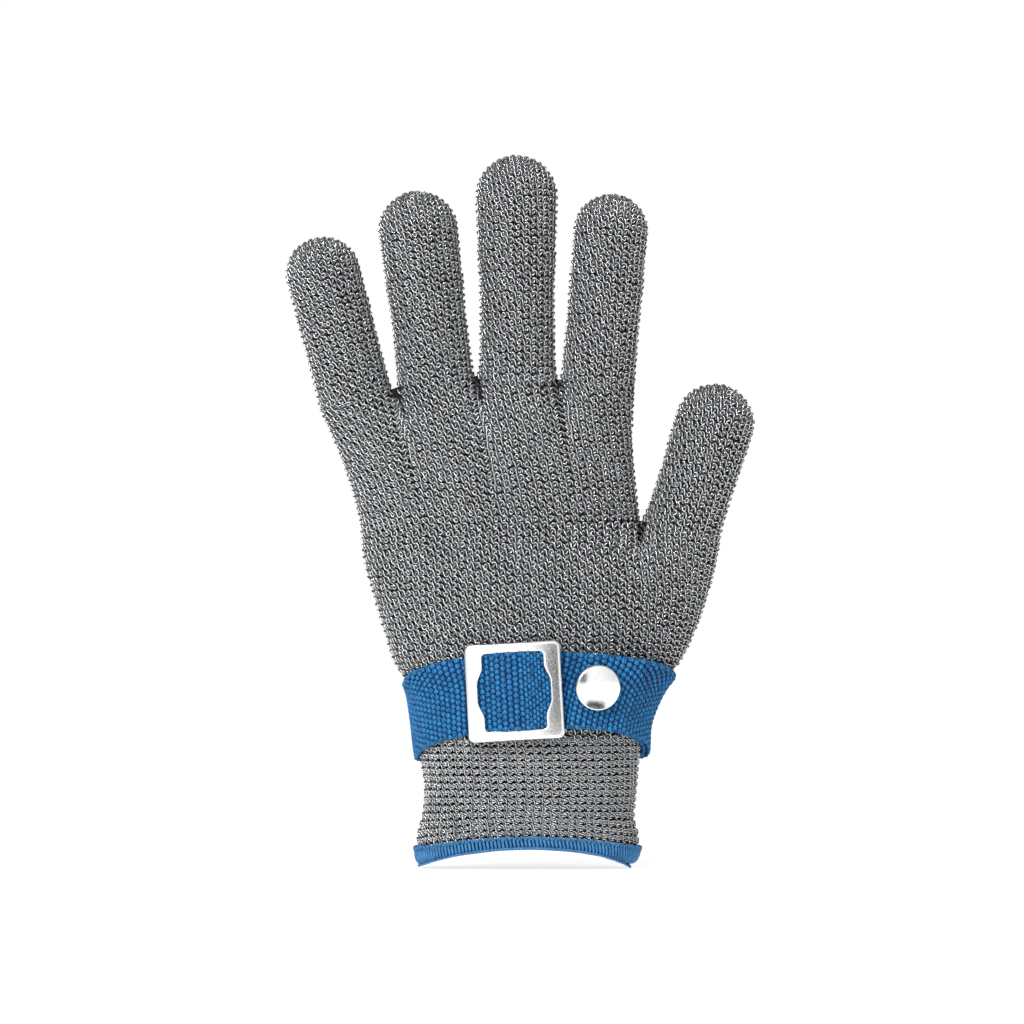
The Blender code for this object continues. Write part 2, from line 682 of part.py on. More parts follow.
def build():
    for obj in list(bpy.data.objects):
        bpy.data.objects.remove(obj)
    knit = material("wire_knit", (0.42, 0.43, 0.43), 0.4, 0.8)
    blue = material("blue_webbing", (0.05, 0.17, 0.42), 0.6, 0.0)
    thread = material("blue_thread", (0.09, 0.22, 0.5), 0.65, 0.0)
    steel = material("stainless_steel", (0.78, 0.78, 0.77), 0.25, 1.0)

    knit_tube("cuff_knit", cuff_rings(), knit)
    hem(thread)
    heel = hand_rings(HEEL_SECTIONS, HEEL_LOBE_DEPTHS, 13, SIDES_LOBE)
    notch_heel(heel)
    knit_tube("heel_knit", heel, knit)
    palm = hand_rings(PALM_SECTIONS, PALM_LOBE_DEPTHS, 6, 6)
    notch_palm(palm)
    knit_tube("palm_knit", palm, knit)
    for name in ("index", "middle", "ring", "little"):
        finger_nodes(name, (BASE_FOLD_DEG, MIDDLE_FOLD_DEG, TIP_FOLD_DEG), FINGER_FOLDS, knit)
    finger_nodes("thumb", (THUMB_BASE_FOLD_DEG, THUMB_TIP_FOLD_DEG), THUMB_FOLDS, knit)
    buckle(steel)
    strap_bridge(blue)
    strap_parts(blue)
    snap_parts(steel)
    flap_fold = placed(FLAP_START_X, FLAP_HINGE_LEVEL).translation
    for name in ("strap_flap", "snap_cap", "snap_socket"):
        move_origin(bpy.data.objects[name], flap_fold)
    slide_centre = placed(BUCKLE_X, GAP + WEBBING_THICK - BUCKLE_SLIDE_RADIUS).translation
    for name in ("buckle_frame", "strap_bridge"):
        move_origin(bpy.data.objects[name], slide_centre)
    wrist_fold = Vector((0, 0, CUFF_TOP))
    for name in ("cuff_knit", "cuff_hem"):
        move_origin(bpy.data.objects[name], wrist_fold)


build()
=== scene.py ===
"""Looks for the wire-knit cut resistant glove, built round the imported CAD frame.

Sizes are in millimetres and become metres where a mesh is made. The frame is the CAD's own:
+Z runs from the wrist opening to the fingertips, +X towards the thumb, and the back of the
hand faces -Y.
"""

import math

import bpy
import numpy as np
from mathutils import Matrix, Vector


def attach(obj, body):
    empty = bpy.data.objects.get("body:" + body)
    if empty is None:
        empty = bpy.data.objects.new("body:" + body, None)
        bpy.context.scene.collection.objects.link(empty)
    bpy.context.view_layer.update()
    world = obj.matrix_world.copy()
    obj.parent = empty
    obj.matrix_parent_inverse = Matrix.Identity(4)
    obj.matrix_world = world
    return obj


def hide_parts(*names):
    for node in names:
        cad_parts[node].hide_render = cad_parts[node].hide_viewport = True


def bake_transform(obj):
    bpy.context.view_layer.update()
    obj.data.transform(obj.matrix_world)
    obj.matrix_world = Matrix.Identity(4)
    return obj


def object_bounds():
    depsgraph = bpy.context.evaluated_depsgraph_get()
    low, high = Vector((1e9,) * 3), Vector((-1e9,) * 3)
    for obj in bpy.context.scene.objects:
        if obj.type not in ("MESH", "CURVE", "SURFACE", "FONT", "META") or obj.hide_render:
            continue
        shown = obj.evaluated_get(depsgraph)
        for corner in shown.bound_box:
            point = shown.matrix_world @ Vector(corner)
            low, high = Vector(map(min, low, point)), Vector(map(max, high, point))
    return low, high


MM = 0.001
GAP = 0.35
RNG = np.random.default_rng(41)

# The glove's shape, as the CAD has it ---------------------
KNIT_WALL = 1.6
FINGER_FLATNESS = 0.86
SECTION_POWER = 2.15
RIM_RISE = 5.6
RIM_HALF_WIDTH = 38.0
RIM_TURN_IN = (5.0, 2.4)  # at the thumb's side and at the little finger's
HEM_HEIGHT = 4.6
HEM_WALL = 0.8

WEB_POINTS = ((-68.2, 148.2), (-43.9, 154.7), (-17.6, 158.3), (9.75, 157.6), (34.5, 156.3))
THUMB_CROTCH = (36.0, 112.0)
THUMB_OUTSIDE = (62.0, 105.0)
FINGERS = {
    "little": {"base": (WEB_POINTS[0], (-44.5, 154.6)), "tip": (-66.9, 192.2), "radius": 12.6, "waist": 12},
    "ring": {"base": ((-43.0, 154.9), WEB_POINTS[2]), "tip": (-36.1, 206.4), "radius": 13.3, "waist": 12.3},
    "middle": {"base": WEB_POINTS[2:4], "tip": (-4.2, 217.7), "radius": 13.6, "waist": 12.2},
    "index": {"base": WEB_POINTS[3:5], "tip": (26.5, 206.2), "radius": 12.5, "waist": 11.9},
    "thumb": {"base": (THUMB_CROTCH, THUMB_OUTSIDE), "tip": (60.1, 143.6), "radius": 13.0, "waist": 12.5},
}
WEB_ROUNDING = 3.0
FINGER_FOLDS = (0.0, 0.42, 0.71)
THUMB_FOLDS = (0.0, 0.62)
# each row: x and z of the section's points, half depth, how far it is split into lobes
CUFF_ROWS = np.array((
    (-38.0, 0.0, 38.0, 0.0, 24.5, 0),
    (-37.0, 8.5, 36.4, 8.5, 24.0, 0),
    (-35.2, 15.0, 34.2, 15.0, 23.3, 0),
    (-34.4, 21.5, 34.6, 21.5, 23.0, 0),
    (-34.3, 27.5, 35.2, 27.5, 23.6, 0),
))
HEEL_ROWS = np.array((
    (-34.3, 27.5, 22.0, 27.5, 35.2, 27.5, 23.6, 0),
    (-36.2, 38.0, 23.5, 38.0, 36.0, 38.0, 24.6, 0),
    (-37.2, 47.0, 25.0, 47.0, 36.7, 47.0, 25.2, 0),
    (-39.2, 58.0, 27.5, 58.0, 41.6, 58.0, 25.2, 0),
    (-43.9, 66.0, 30.0, 66.5, 48.7, 66.0, 24.6, 0),
    (-47.4, 76.5, 32.0, 77.0, 53.6, 75.5, 23.6, 0),
    (-51.0, 88.5, 34.0, 89.5, 57.4, 86.0, 21.4, 0),
    (-54.0, 100.0, 35.5, 101.0, 60.0, 95.5, 19.8, 0.15),
    (-55.0, 111.0, *THUMB_CROTCH, *THUMB_OUTSIDE, 17.0, 1.0),
))
PALM_ROWS = np.array((
    (-55.0, 111.0, -32.0, 111.3, -9.0, 111.5, 14.0, 111.8, 36.0, 112.0, 17.0, 0),
    (-58.6, 125.0, -34.6, 128.0, -10.5, 129.8, 12.8, 129.8, 34.0, 129.4, 16.4, 0),
    (-64.2, 139.5, -39.6, 144.2, -14.2, 146.6, 11.0, 146.0, 33.6, 145.0, 14.8, 0.2),
    (*(n for p in WEB_POINTS for n in p), 11.0, 1.0),
))
# half depths of the lobes: the palm and the thumb, then the four fingers
HEEL_LOBES = (17.0, 11.2)
PALM_LOBES = (10.75, 11.3, 11.6, 10.65)

# The strap and its hardware, as the CAD has them ----------
WEBBING_WIDTH = 25.4
WEBBING_THICK = 1.3
STRAP_MIDDLE = 47.6
STRAP_RISE = 9.9
STRAP_DROP = 3.6
STRAP_PEAK_DEG = 8.0
BUCKLE_X = -4.7
BUCKLE_WIDTH = 31.0
BUCKLE_HEIGHT = 31.6
BUCKLE_CORNER = 2.2
BUCKLE_SHEET = 1.0
BUCKLE_DEPTH = 2.4
OPENING_HALF_WIDTH = 10.0
OPENING_BULGE = 1.9
OPENING_HALF_HEIGHT = 12.6
OPENING_CORNER = 1.4
BAR_HALF_WIDTH = 1.7
SNAP_X = 20.0
SNAP_UP = 2.0
SNAP_CAP_RADIUS = 7.5
SNAP_LIFT = 3.8
BAND_END_X = 12.5
FLAP_START_X = 13.1
FLAP_START_LEVEL = 0.9
FLAP_END_DEG = 118.0
INNER_END_X = 15.4

# Knitting -------------------------------------------------
WALE = 2.6  # width of one stitch
COURSE = 2.2  # height of one row of stitches
YARN = 0.40  # radius of the dark yarn
WIRE = 0.18  # radius of a steel wire wound round it
WINDING = 4.2  # length of yarn in which a wire goes round once
LOOP_HALF_HEIGHT = 0.36  # in rows
LOOP_LEAN = 0.42  # how far its head leans back from its foot, so that one leg is steep
YARN_DEPTH = 0.72  # how far the middle of the yarn lies under the surface, before its loops
CUFF_YARN_DEPTH = 0.80
# a near-black sheet lies this far under the stitches as painted shade in the gaps between them
SHADE_SHEET_DEPTH = 1.35
CUFF_SHADE_SHEET_DEPTH = 1.6
SHADE_SHEET_OVERLAP = 0.4  # in rows, so that no light shows between two pieces
FINGERTIP_SINK = 0.38  # in a fist the fingertips lie side by side with little room
RIB = 5.9  # width of one rib of the cuff
CUFF_COURSE = 2.4
CUFF_KNIT_TOP = 41.0  # the ribbing ends under the strap

# Weaving --------------------------------------------------
ENDS = 28  # lengthwise yarns across the webbing
PICK = 1.95  # length of webbing in which a lengthwise yarn passes over one crosswise yarn
END_RADIUS = 0.22  # of a lengthwise yarn where it passes under
END_SWELL = 0.68  # what is added to that where it passes over
END_CLIMB = 0.52
CORE_HALF = 0.14
SELVEDGE_RADIUS = 0.24


def smoothstep(t):
    t = np.clip(t, 0.0, 1.0)
    return t * t * (3 - 2 * t)


def catmull_rom(rows, t):
    """A smooth curve through equally spaced rows, at every t of an array from 0 to 1."""
    last = len(rows) - 1
    place = np.clip(np.atleast_1d(t), 0, 1) * last
    i = np.minimum(place.astype(int), last - 1)
    f = (place - i)[:, None]
    p0, p1, p2, p3 = (rows[np.clip(k, 0, last)] for k in (i - 1, i, i + 1, i + 2))
    bend = 2 * p0 + 4 * p2 - 5 * p1 - p3
    return 0.5 * (2 * p1 + (p2 - p0) * f + bend * f**2 + (3 * p1 - p0 - 3 * p2 + p3) * f**3)


def unit(vectors):
    return vectors / np.maximum(np.linalg.norm(vectors, axis=-1, keepdims=True), 1e-9)


def signed_power(value, power):
    """A power of the value's size, with the value's own sign."""
    return np.sign(value) * np.abs(value) ** power


def between(values, row, column, f, g):
    """Values of a grid between its rows and columns: f and g say how far past (row, column)."""
    a = values[row, column] * (1 - g) + values[row, column + 1] * g
    b = values[row + 1, column] * (1 - g) + values[row + 1, column + 1] * g
    return a + (b - a) * f


# The glove's surface --------------------------------------
def back_of_section(row, lobe_depths, lobe_power, samples=80):
    """The back half of one cross-section, from the little finger's side to the thumb's."""
    depth, split = row[-2:]
    points = row[:-2].reshape(-1, 2)
    along = np.concatenate(([0], np.cumsum(np.linalg.norm(np.diff(points, axis=0), axis=1))))
    edges = along / along[-1]
    turn = (1 - np.cos(np.pi * np.arange(samples) / samples)) / 2
    u = np.concatenate([a + (b - a) * turn for a, b in zip(edges, edges[1:])] + [[1.0]])
    x = np.interp(u, edges, points[:, 0])
    z = np.interp(u, edges, points[:, 1])
    merged = depth * np.maximum(0, 1 - np.abs(2 * u - 1) ** SECTION_POWER) ** (1 / SECTION_POWER)
    if split > 0:
        lobe = np.clip(np.searchsorted(edges, u, side="right") - 1, 0, len(edges) - 2)
        middle = (edges[lobe] + edges[lobe + 1]) / 2
        half = (edges[lobe + 1] - edges[lobe]) / 2
        share = np.abs((u - middle) / half)
        bump = np.array(lobe_depths)[lobe] * np.maximum(0, 1 - share**lobe_power) ** (1 / lobe_power)
        merged = merged + (bump - merged) * split
    return np.stack((x, -merged, z), axis=1)


class Skin:
    """A tube that is the same in front and behind, as a grid over its back half.

    Places on it are (s, v): s is the distance round from the middle of the back, and v counts
    rows of stitches. Beyond either side edge the grid carries on round to the palm side.
    """

    PAD = 6
    ACROSS = 160
    FINE = 4  # grid rows for each row of stitches
    VALLEY_SHARE = 0.12  # how much the walls between two fingers count in distances round the tube

    def __init__(self, halves, spacing, whole=None, level=True):
        """halves: back halves of cross-sections, bottom to top. spacing: of v, in mm.

        whole holds the same cross-sections before they part into lobes. Distances round the tube
        are measured near them, so that the columns of stitches run nearly straight up. The rows of
        stitches are parallel to the cross-sections if level, or else spread evenly between the
        first and the last at every place round them.
        """
        self.shift = 0.0  # added to s to count stitches, so that they run on from the piece below
        self.sink = 0.0  # how far in everything placed on it is moved, in mm
        grid, lengths = [], []
        for half, undivided in zip(halves, whole or halves):
            measured = undivided + (half - undivided) * self.VALLEY_SHARE
            step = np.linalg.norm(np.diff(measured, axis=0), axis=1)
            along = np.concatenate(([0], np.cumsum(step)))
            even = np.linspace(0, along[-1], self.ACROSS + 1)
            grid.append(np.stack([np.interp(even, along, half[:, k]) for k in range(3)], axis=1))
            lengths.append(along[-1])
        grid = np.array(grid)
        rise = np.linalg.norm(np.diff(grid, axis=0), axis=2)
        if level:
            rise = np.broadcast_to(rise.mean(axis=1, keepdims=True), rise.shape)
        height = np.concatenate((np.zeros((1, rise.shape[1])), np.cumsum(rise, axis=0)))
        self.rows = max(2, round(height[-1].mean() / spacing))
        share = np.linspace(0, 1, self.rows * self.FINE + 1)
        place = np.stack([np.interp(share * h[-1], h, np.arange(len(h))) for h in height.T], axis=1)
        low = np.minimum(place.astype(int), len(height) - 2)
        column = np.arange(place.shape[1])
        f = (place - low)[..., None]
        self.grid = grid[low, column] + (grid[low + 1, column] - grid[low, column]) * f
        self.length = np.interp(place.mean(axis=1), np.arange(len(lengths)), lengths)
        mirror = np.array((1, -1, 1))
        before = self.grid[:, self.PAD : 0 : -1] * mirror
        after = self.grid[:, -2 : -self.PAD - 2 : -1] * mirror
        self.grid = np.concatenate((before, self.grid, after), axis=1)
        self.normal = unit(np.cross(np.gradient(self.grid, axis=1), np.gradient(self.grid, axis=0)))
        if self.normal[:, self.normal.shape[1] // 2, 1].mean() > 0:
            self.normal = -self.normal

    def half_length(self, v):
        return np.interp(v * self.FINE, np.arange(len(self.length)), self.length)

    def follow(self, below, x):
        """Lines this piece's stitches up with those of the piece below it, at x on its first row."""
        top = below.grid[-1, self.PAD : self.PAD + self.ACROSS + 1, 0]
        own = self.grid[0, self.PAD : self.PAD + self.ACROSS + 1, 0]
        share = np.linspace(-0.5, 0.5, self.ACROSS + 1)
        there = np.interp(x, top, share * below.length[-1])
        self.shift = below.shift + there - np.interp(x, own, share * self.length[0])

    def height(self, z):
        """The v at which the middle of the back is z high."""
        middle = self.grid[:, self.ACROSS // 2 + self.PAD, 2]
        return float(np.interp(z, middle, np.arange(len(middle)) / self.FINE))

    def at(self, s, v):
        """(point, normal) for arrays of places on the back half."""
        row = np.clip(v * self.FINE, 1 - self.FINE, len(self.grid) + self.FINE - 2)
        low = np.clip(np.floor(row).astype(int), 0, len(self.grid) - 2)
        f = (row - low)[:, None]
        column = (s / self.half_length(v) + 0.5) * self.ACROSS + self.PAD
        column = np.clip(column, 0, self.grid.shape[1] - 1.001)
        left = column.astype(int)
        g = (column - left)[:, None]
        point, normal = (between(values, low, left, f, g) for values in (self.grid, self.normal))
        return point, unit(normal)

    def ring(self, v, spacing):
        """(q, s, length) of a row: q runs from the left side along the back and home by the palm."""
        length = float(self.half_length(v))
        count = max(24, int(2 * length / spacing))
        q = np.arange(count) * 2 * length / count
        s = np.where(q < length, q, 2 * length - q) - length / 2
        return q, s, length

    def place(self, q, v, s_off=0.0, v_off=0.0, n_off=0.0):
        """Points and normals round the ring at row v, moved sideways, up in rows and out."""
        v = np.full(len(q), v)
        length = self.half_length(v)
        front = q < length
        s = np.where(front, q, 2 * length - q) - length / 2
        point, normal = self.at(s + s_off, v + v_off)
        flip = np.where(front, 1.0, -1.0)
        point[:, 1] *= flip
        normal[:, 1] *= flip
        return point + normal * np.broadcast_to(n_off - self.sink, len(q))[:, None], normal


def half_rows(rows, count, lobe_depths=(), lobe_power=2.0):
    return [back_of_section(r, lobe_depths, lobe_power) for r in catmull_rom(rows, np.linspace(0, 1, count))]


def whole_rows(rows, count):
    """The same rows before they part into lobes."""
    undivided = rows.copy()
    undivided[:, -1] = 0.0
    return half_rows(undivided, count)


def cuff_halves():
    halves = half_rows(CUFF_ROWS, 28)
    for k, half in enumerate(halves):
        share = 1 - k / (len(halves) - 1)
        rim = RIM_RISE * (1 - np.minimum(1, np.abs(half[:, 0]) / RIM_HALF_WIDTH) ** 2)
        half[:, 2] += share**2 * (rim + HEM_WALL + GAP)
        side = half[:, 0] / RIM_HALF_WIDTH
        half[:, 0] -= share**6 * np.where(side > 0, *RIM_TURN_IN) * side**3
    return halves


class Finger:
    """A finger's straight axis, elliptical rings and round tip."""

    TIP_TURN = math.radians(86)  # how far round the tip the rings go
    SETTLE = 14.0  # length in which the rings turn square to the finger

    def __init__(self, shape):
        self.left, self.right = (np.array((x, 0.0, z)) for x, z in shape["base"])
        self.start = (self.left + self.right) / 2
        tip = np.array((shape["tip"][0], 0.0, shape["tip"][1]))
        self.straight = np.linalg.norm(tip - self.start)
        self.axis = (tip - self.start) / self.straight
        self.across = np.array((self.axis[2], 0.0, -self.axis[0]))
        self.radius = shape["radius"]
        self.length = self.straight + self.radius
        self.reach = self.straight + self.radius * self.TIP_TURN
        self.base, waist = np.linalg.norm(self.right - self.left) / 2, shape["waist"]
        near_tip = waist + (self.radius - waist) * 0.7
        self.widths = np.array((waist, waist, waist, near_tip, self.radius))[:, None]

    def half(self, meridian):
        """The back half of the ring at a distance along the finger's side."""
        over = meridian - self.straight
        if over > 0:
            angle = min(over / self.radius, self.TIP_TURN)
            along = self.straight + self.radius * math.sin(angle)
            width = self.radius * math.cos(angle)
        else:
            along = meridian
            width = catmull_rom(self.widths, meridian / self.straight)[0, 0]
            width += (self.base - width) * math.exp(-meridian / WEB_ROUNDING)
        turn = np.pi * np.arange(121) / 120
        # the first rings follow the line between the web points
        settle = 1 - smoothstep(meridian / self.SETTLE)
        across = self.across + (unit(self.right - self.left) - self.across) * settle
        points = self.start + self.axis * along - np.cos(turn)[:, None] * width * across
        points[:, 1] -= np.sin(turn) * width * FINGER_FLATNESS
        return points

    def halves(self):
        return [self.half(m) for m in np.linspace(0, self.reach, 70)]


# Meshes ---------------------------------------------------
def new_object(name, data):
    obj = bpy.data.objects.new(name, data)
    bpy.context.scene.collection.objects.link(obj)
    return obj


class Mesh:
    """Collects tubes and sheets, then makes one object of them."""

    def __init__(self):
        self.points, self.quads, self.tris, self.uvs, self.count = [], [], [], [], 0

    def tube(self, path, normal, radius, sides=5, closed=True, flat=1.0, start=0.0):
        """A tube along path. normal is the surface's; flat squashes the tube along it."""
        n = len(path)
        side, out = cross_section(path, normal, closed)
        angle = 2 * np.pi * (np.arange(sides) + 0.25) / sides
        radius = np.broadcast_to(np.asarray(radius, float), (n,))[:, None, None]
        across = radius * np.cos(angle)[None, :, None] * side[:, None]
        ring = path[:, None] + across + radius * flat * np.sin(angle)[None, :, None] * out[:, None]
        rows = n if closed else n - 1
        i = np.arange(rows)[:, None]
        j = np.arange(sides)[None, :]
        i2, j2 = (i + 1) % n, (j + 1) % sides
        along = start + distance_along(path)
        step = along[-1] / n
        ahead = along[np.minimum(i + 1, n - 1)] + step * (i + 1 > n - 1)
        near, far, first, last = (
            np.broadcast_to(a, (rows, sides)) for a in (along[i], ahead, j / sides, (j + 1) / sides)
        )
        self.add(
            ring.reshape(-1, 3),
            np.stack((i * sides + j, i * sides + j2, i2 * sides + j2, i2 * sides + j), axis=-1),
            np.stack((near, first, near, last, far, last, far, first), axis=-1),
        )
        if not closed:
            self.cap(ring[0][::-1])
            self.cap(ring[-1])

    def cap(self, ring):
        """Closes a tube's end with triangles to its middle."""
        n = len(ring)
        j = np.arange(n)
        tris = np.stack((j, (j + 1) % n, np.full(n, n)), axis=-1)
        self.points.append(np.concatenate((ring, [ring.mean(axis=0)])))
        self.tris.append(tris + self.count)
        self.count += n + 1

    def sheet(self, grid, closed_across=False):
        """Quads over a grid of points, rows by columns."""
        rows, columns = grid.shape[:2]
        i = np.arange(rows - 1)[:, None]
        j = np.arange(columns if closed_across else columns - 1)[None, :]
        j2 = (j + 1) % columns
        near, far = i * columns, (i + 1) * columns
        quads = np.stack((near + j, near + j2, far + j2, far + j), axis=-1)
        self.add(grid.reshape(-1, 3), quads, np.zeros((quads.size // 4, 8)))

    def add(self, points, quads, uvs):
        self.points.append(points)
        self.quads.append(quads.reshape(-1, 4) + self.count)
        self.uvs.append(uvs.reshape(-1, 2))
        self.count += len(points)

    def make(self, name, finish):
        points = np.concatenate(self.points) * MM
        quads = np.concatenate(self.quads)
        tris = np.concatenate(self.tris) if self.tris else np.zeros((0, 3), int)
        corners = np.concatenate((quads.ravel(), tris.ravel())).astype(np.int32)
        starts = np.concatenate((np.arange(len(quads)) * 4, quads.size + np.arange(len(tris)) * 3))
        uvs = np.concatenate((np.concatenate(self.uvs), np.zeros((tris.size, 2))))
        mesh = bpy.data.meshes.new(name)
        mesh.vertices.add(len(points))
        mesh.vertices.foreach_set("co", points.astype(np.float32).ravel())
        mesh.loops.add(len(corners))
        mesh.loops.foreach_set("vertex_index", corners)
        mesh.polygons.add(len(starts))
        mesh.polygons.foreach_set("loop_start", starts.astype(np.int32))
        mesh.polygons.foreach_set("use_smooth", np.ones(len(starts), dtype=bool))
        layer = mesh.uv_layers.new(name="yarn")
        layer.data.foreach_set("uv", uvs.astype(np.float32).ravel())
        mesh.update(calc_edges=True)
        mesh.validate()
        mesh.materials.append(finish)
        return new_object(name, mesh)


# Yarn and thread ------------------------------------------
def distance_along(path):
    return np.concatenate(([0], np.cumsum(np.linalg.norm(np.diff(path, axis=0), axis=1))))


def cross_section(path, normal, closed):
    """Two directions square to a path: sideways on the surface, and out of it."""
    if closed:
        tangent = np.roll(path, -1, axis=0) - np.roll(path, 1, axis=0)
    else:
        tangent = np.gradient(path, axis=0)
    side = unit(np.cross(tangent, normal))
    return side, unit(np.cross(side, tangent))


def wound(path, normal, radius, winding, start):
    """The path of a wire wound round a closed yarn, clockwise as the yarn runs away."""
    side, out = cross_section(path, normal, closed=True)
    along = distance_along(path)
    length = along[-1] + np.linalg.norm(path[0] - path[-1])
    angle = -2 * np.pi * max(1, round(length / winding)) * along / length + start
    return path + radius * (np.cos(angle)[:, None] * side + np.sin(angle)[:, None] * out), out


def wander(s, v, seed):
    """A smooth small irregularity over the fabric, from -1 to 1."""
    a = np.sin(s * 0.23 + v * 0.61 + seed) * np.cos(s * 0.11 - v * 0.37 + 2.3 * seed)
    b = np.sin(s * 0.71 - v * 1.13 + 1.7 * seed) * np.sin(s * 0.47 + v * 0.83 + 3.1 * seed)
    return 0.6 * a + 0.4 * b


# Knitted fabric -------------------------------------------
def plain_row(skin, v, lane):
    """The yarn's path along one row: loops with proud heads, one long leg and one short deep leg."""
    q, s, length = skin.ring(v, WALE / 15)
    inside = smoothstep((length / 2 - np.abs(s)) / 1.0)
    turn = 2 * np.pi * ((s + skin.shift) / WALE + 0.5 + 0.06 * wander(s, v, 1.0))
    sideways = (0.08 * np.sin(2 * turn) - LOOP_LEAN * np.cos(turn) + 0.26 * wander(s, v, 4.0)) * inside
    up = LOOP_HALF_HEIGHT * np.cos(turn) + 0.17 * wander(s, v, 2.0)
    out = 0.34 * np.cos(turn) + 0.14 * np.cos(2 * turn) + 0.22 * np.sin(turn) + 0.10 * wander(s, v, 6.0)
    return skin.place(q, v, sideways, up + lane, out - YARN_DEPTH)


# one rib of the cuff: how far along it, then up in rows, and out of the surface in mm
RIB_POINTS = np.array((
    (0.00, -0.20, -0.30),
    (0.12, 0.02, 0.25),
    (0.27, 0.15, 0.55),
    (0.42, 0.02, 0.35),
    (0.50, -0.16, 0.05),
    (0.60, 0.04, 0.35),
    (0.74, 0.17, 0.60),
    (0.88, 0.04, 0.30),
))


def rib_shape(share):
    """The rib's points as a smooth closed curve, read at every share of the rib."""
    points = np.concatenate((RIB_POINTS[-3:] - (1, 0, 0), RIB_POINTS, RIB_POINTS[:3] + (1, 0, 0)))
    dense = catmull_rom(points, np.linspace(0, 1, 400))
    return np.interp(share, dense[:, 0], dense[:, 1]), np.interp(share, dense[:, 0], dense[:, 2])


def rib_row(skin, v, lane):
    """One of a row's yarns in the cuff: two low arches to each rib, its yarns apart between them."""
    q, s, length = skin.ring(v, RIB / 20)
    share = np.mod(s / RIB + 0.18 + 0.03 * wander(s, v, 1.0), 1.0)
    up, out = rib_shape(share)
    spread = lane * (1.5 + 0.6 * np.cos(4 * np.pi * share))
    up = up + spread + 0.10 * wander(s, v, 2.0)
    out = out - CUFF_YARN_DEPTH + 0.1 * wander(s, v, 7.0)
    return skin.place(q, v, 0.3 * wander(s, v, 4.0), up, out)


PLAIN = {"row": plain_row, "lanes": (0.0,), "yarn": YARN, "wire": WIRE, "winding": WINDING}
RIBBED = {"row": rib_row, "lanes": (-0.135, 0.135), "yarn": 0.31, "wire": 0.14, "winding": 2.3}


def knit_piece(name, skin, low, high, stitch):
    """Yarn and wires of the rows whose middles lie between low and high, in rows of the skin."""
    yarn, wire = Mesh(), Mesh()
    for row in range(math.ceil(low - 0.5), math.ceil(high - 0.5)):
        if not 0 <= row < skin.rows:
            continue
        for lane in stitch["lanes"]:
            path, normal = stitch["row"](skin, row + 0.5, lane)
            yarn.tube(path, normal, stitch["yarn"], sides=5, start=RNG.uniform(0, 9))
            first = RNG.uniform(0, 2 * np.pi)
            on_yarn = stitch["yarn"] + stitch["wire"] * 0.55
            for turn in (first, first + np.pi):
                strand, out = wound(path, normal, on_yarn, stitch["winding"], turn)
                wire.tube(strand, out, stitch["wire"], sides=3)
    return yarn.make(f"{name}_stitches", YARN_GREY), wire.make(f"{name}_wires", WIRE_STEEL)


def shade_sheet_piece(name, skin, low, high, depth=SHADE_SHEET_DEPTH):
    """A near-black sheet behind the stitches. It is painted shade for the gaps between them, and it also
    stops light showing through.
    """
    mesh = Mesh()
    around = 120
    grid = []
    for v in np.linspace(low, high, max(3, int((high - low) * 1.5))):
        q = np.arange(around) * 2 * float(skin.half_length(v)) / around
        grid.append(skin.place(q, v, n_off=-depth)[0])
    mesh.sheet(np.array(grid), closed_across=True)
    return mesh.make(f"{name}_liner", SHADE_SHEET_BLACK)


# Materials ------------------------------------------------
def new_material(name):
    made = bpy.data.materials.new(name)
    made.use_nodes = True
    return made, made.node_tree.nodes, made.node_tree.links, made.node_tree.nodes["Principled BSDF"]


def math_node(nodes, links, operation, *values):
    node = nodes.new("ShaderNodeMath")
    node.operation = operation
    for k, value in enumerate(values):
        if isinstance(value, (int, float)):
            node.inputs[k].default_value = value
        else:
            links.new(value, node.inputs[k])
    return node.outputs[0]


def ramp(nodes, links, value, stops):
    """A colour ramp. Each stop is a place and a colour, or a place and a grey."""
    node = nodes.new("ShaderNodeValToRGB")
    while len(node.color_ramp.elements) < len(stops):
        node.color_ramp.elements.new(0.5)
    for element, (place, colour) in zip(node.color_ramp.elements, stops):
        element.position = place
        element.color = (*colour, 1.0) if isinstance(colour, tuple) else (colour, colour, colour, 1.0)
    links.new(value, node.inputs[0])
    return node.outputs[0]


def noise(nodes, links, scale, detail=2.0, stretch=(1.0, 1.0, 1.0)):
    place = nodes.new("ShaderNodeTexCoord")
    mapping = nodes.new("ShaderNodeMapping")
    mapping.inputs["Scale"].default_value = stretch
    node = nodes.new("ShaderNodeTexNoise")
    node.inputs["Scale"].default_value = scale
    node.inputs["Detail"].default_value = detail
    links.new(place.outputs["Object"], mapping.inputs["Vector"])
    links.new(mapping.outputs["Vector"], node.inputs["Vector"])
    return node.outputs["Fac"]


def bump(nodes, links, height, distance, strength=1.0):
    node = nodes.new("ShaderNodeBump")
    node.inputs["Strength"].default_value = strength
    node.inputs["Distance"].default_value = distance
    links.new(height, node.inputs["Height"])
    return node.outputs[0]


def plies(nodes, links, turn):
    """Two ridges that run round a yarn, once in every turn mm, from its own lengthwise mapping."""
    uv = nodes.new("ShaderNodeUVMap")
    uv.uv_map = "yarn"
    split = nodes.new("ShaderNodeSeparateXYZ")
    links.new(uv.outputs[0], split.inputs[0])
    along = math_node(nodes, links, "DIVIDE", split.outputs[0], turn)
    spiral = math_node(nodes, links, "ADD", along, split.outputs[1])
    return math_node(nodes, links, "PINGPONG", spiral, 0.25)


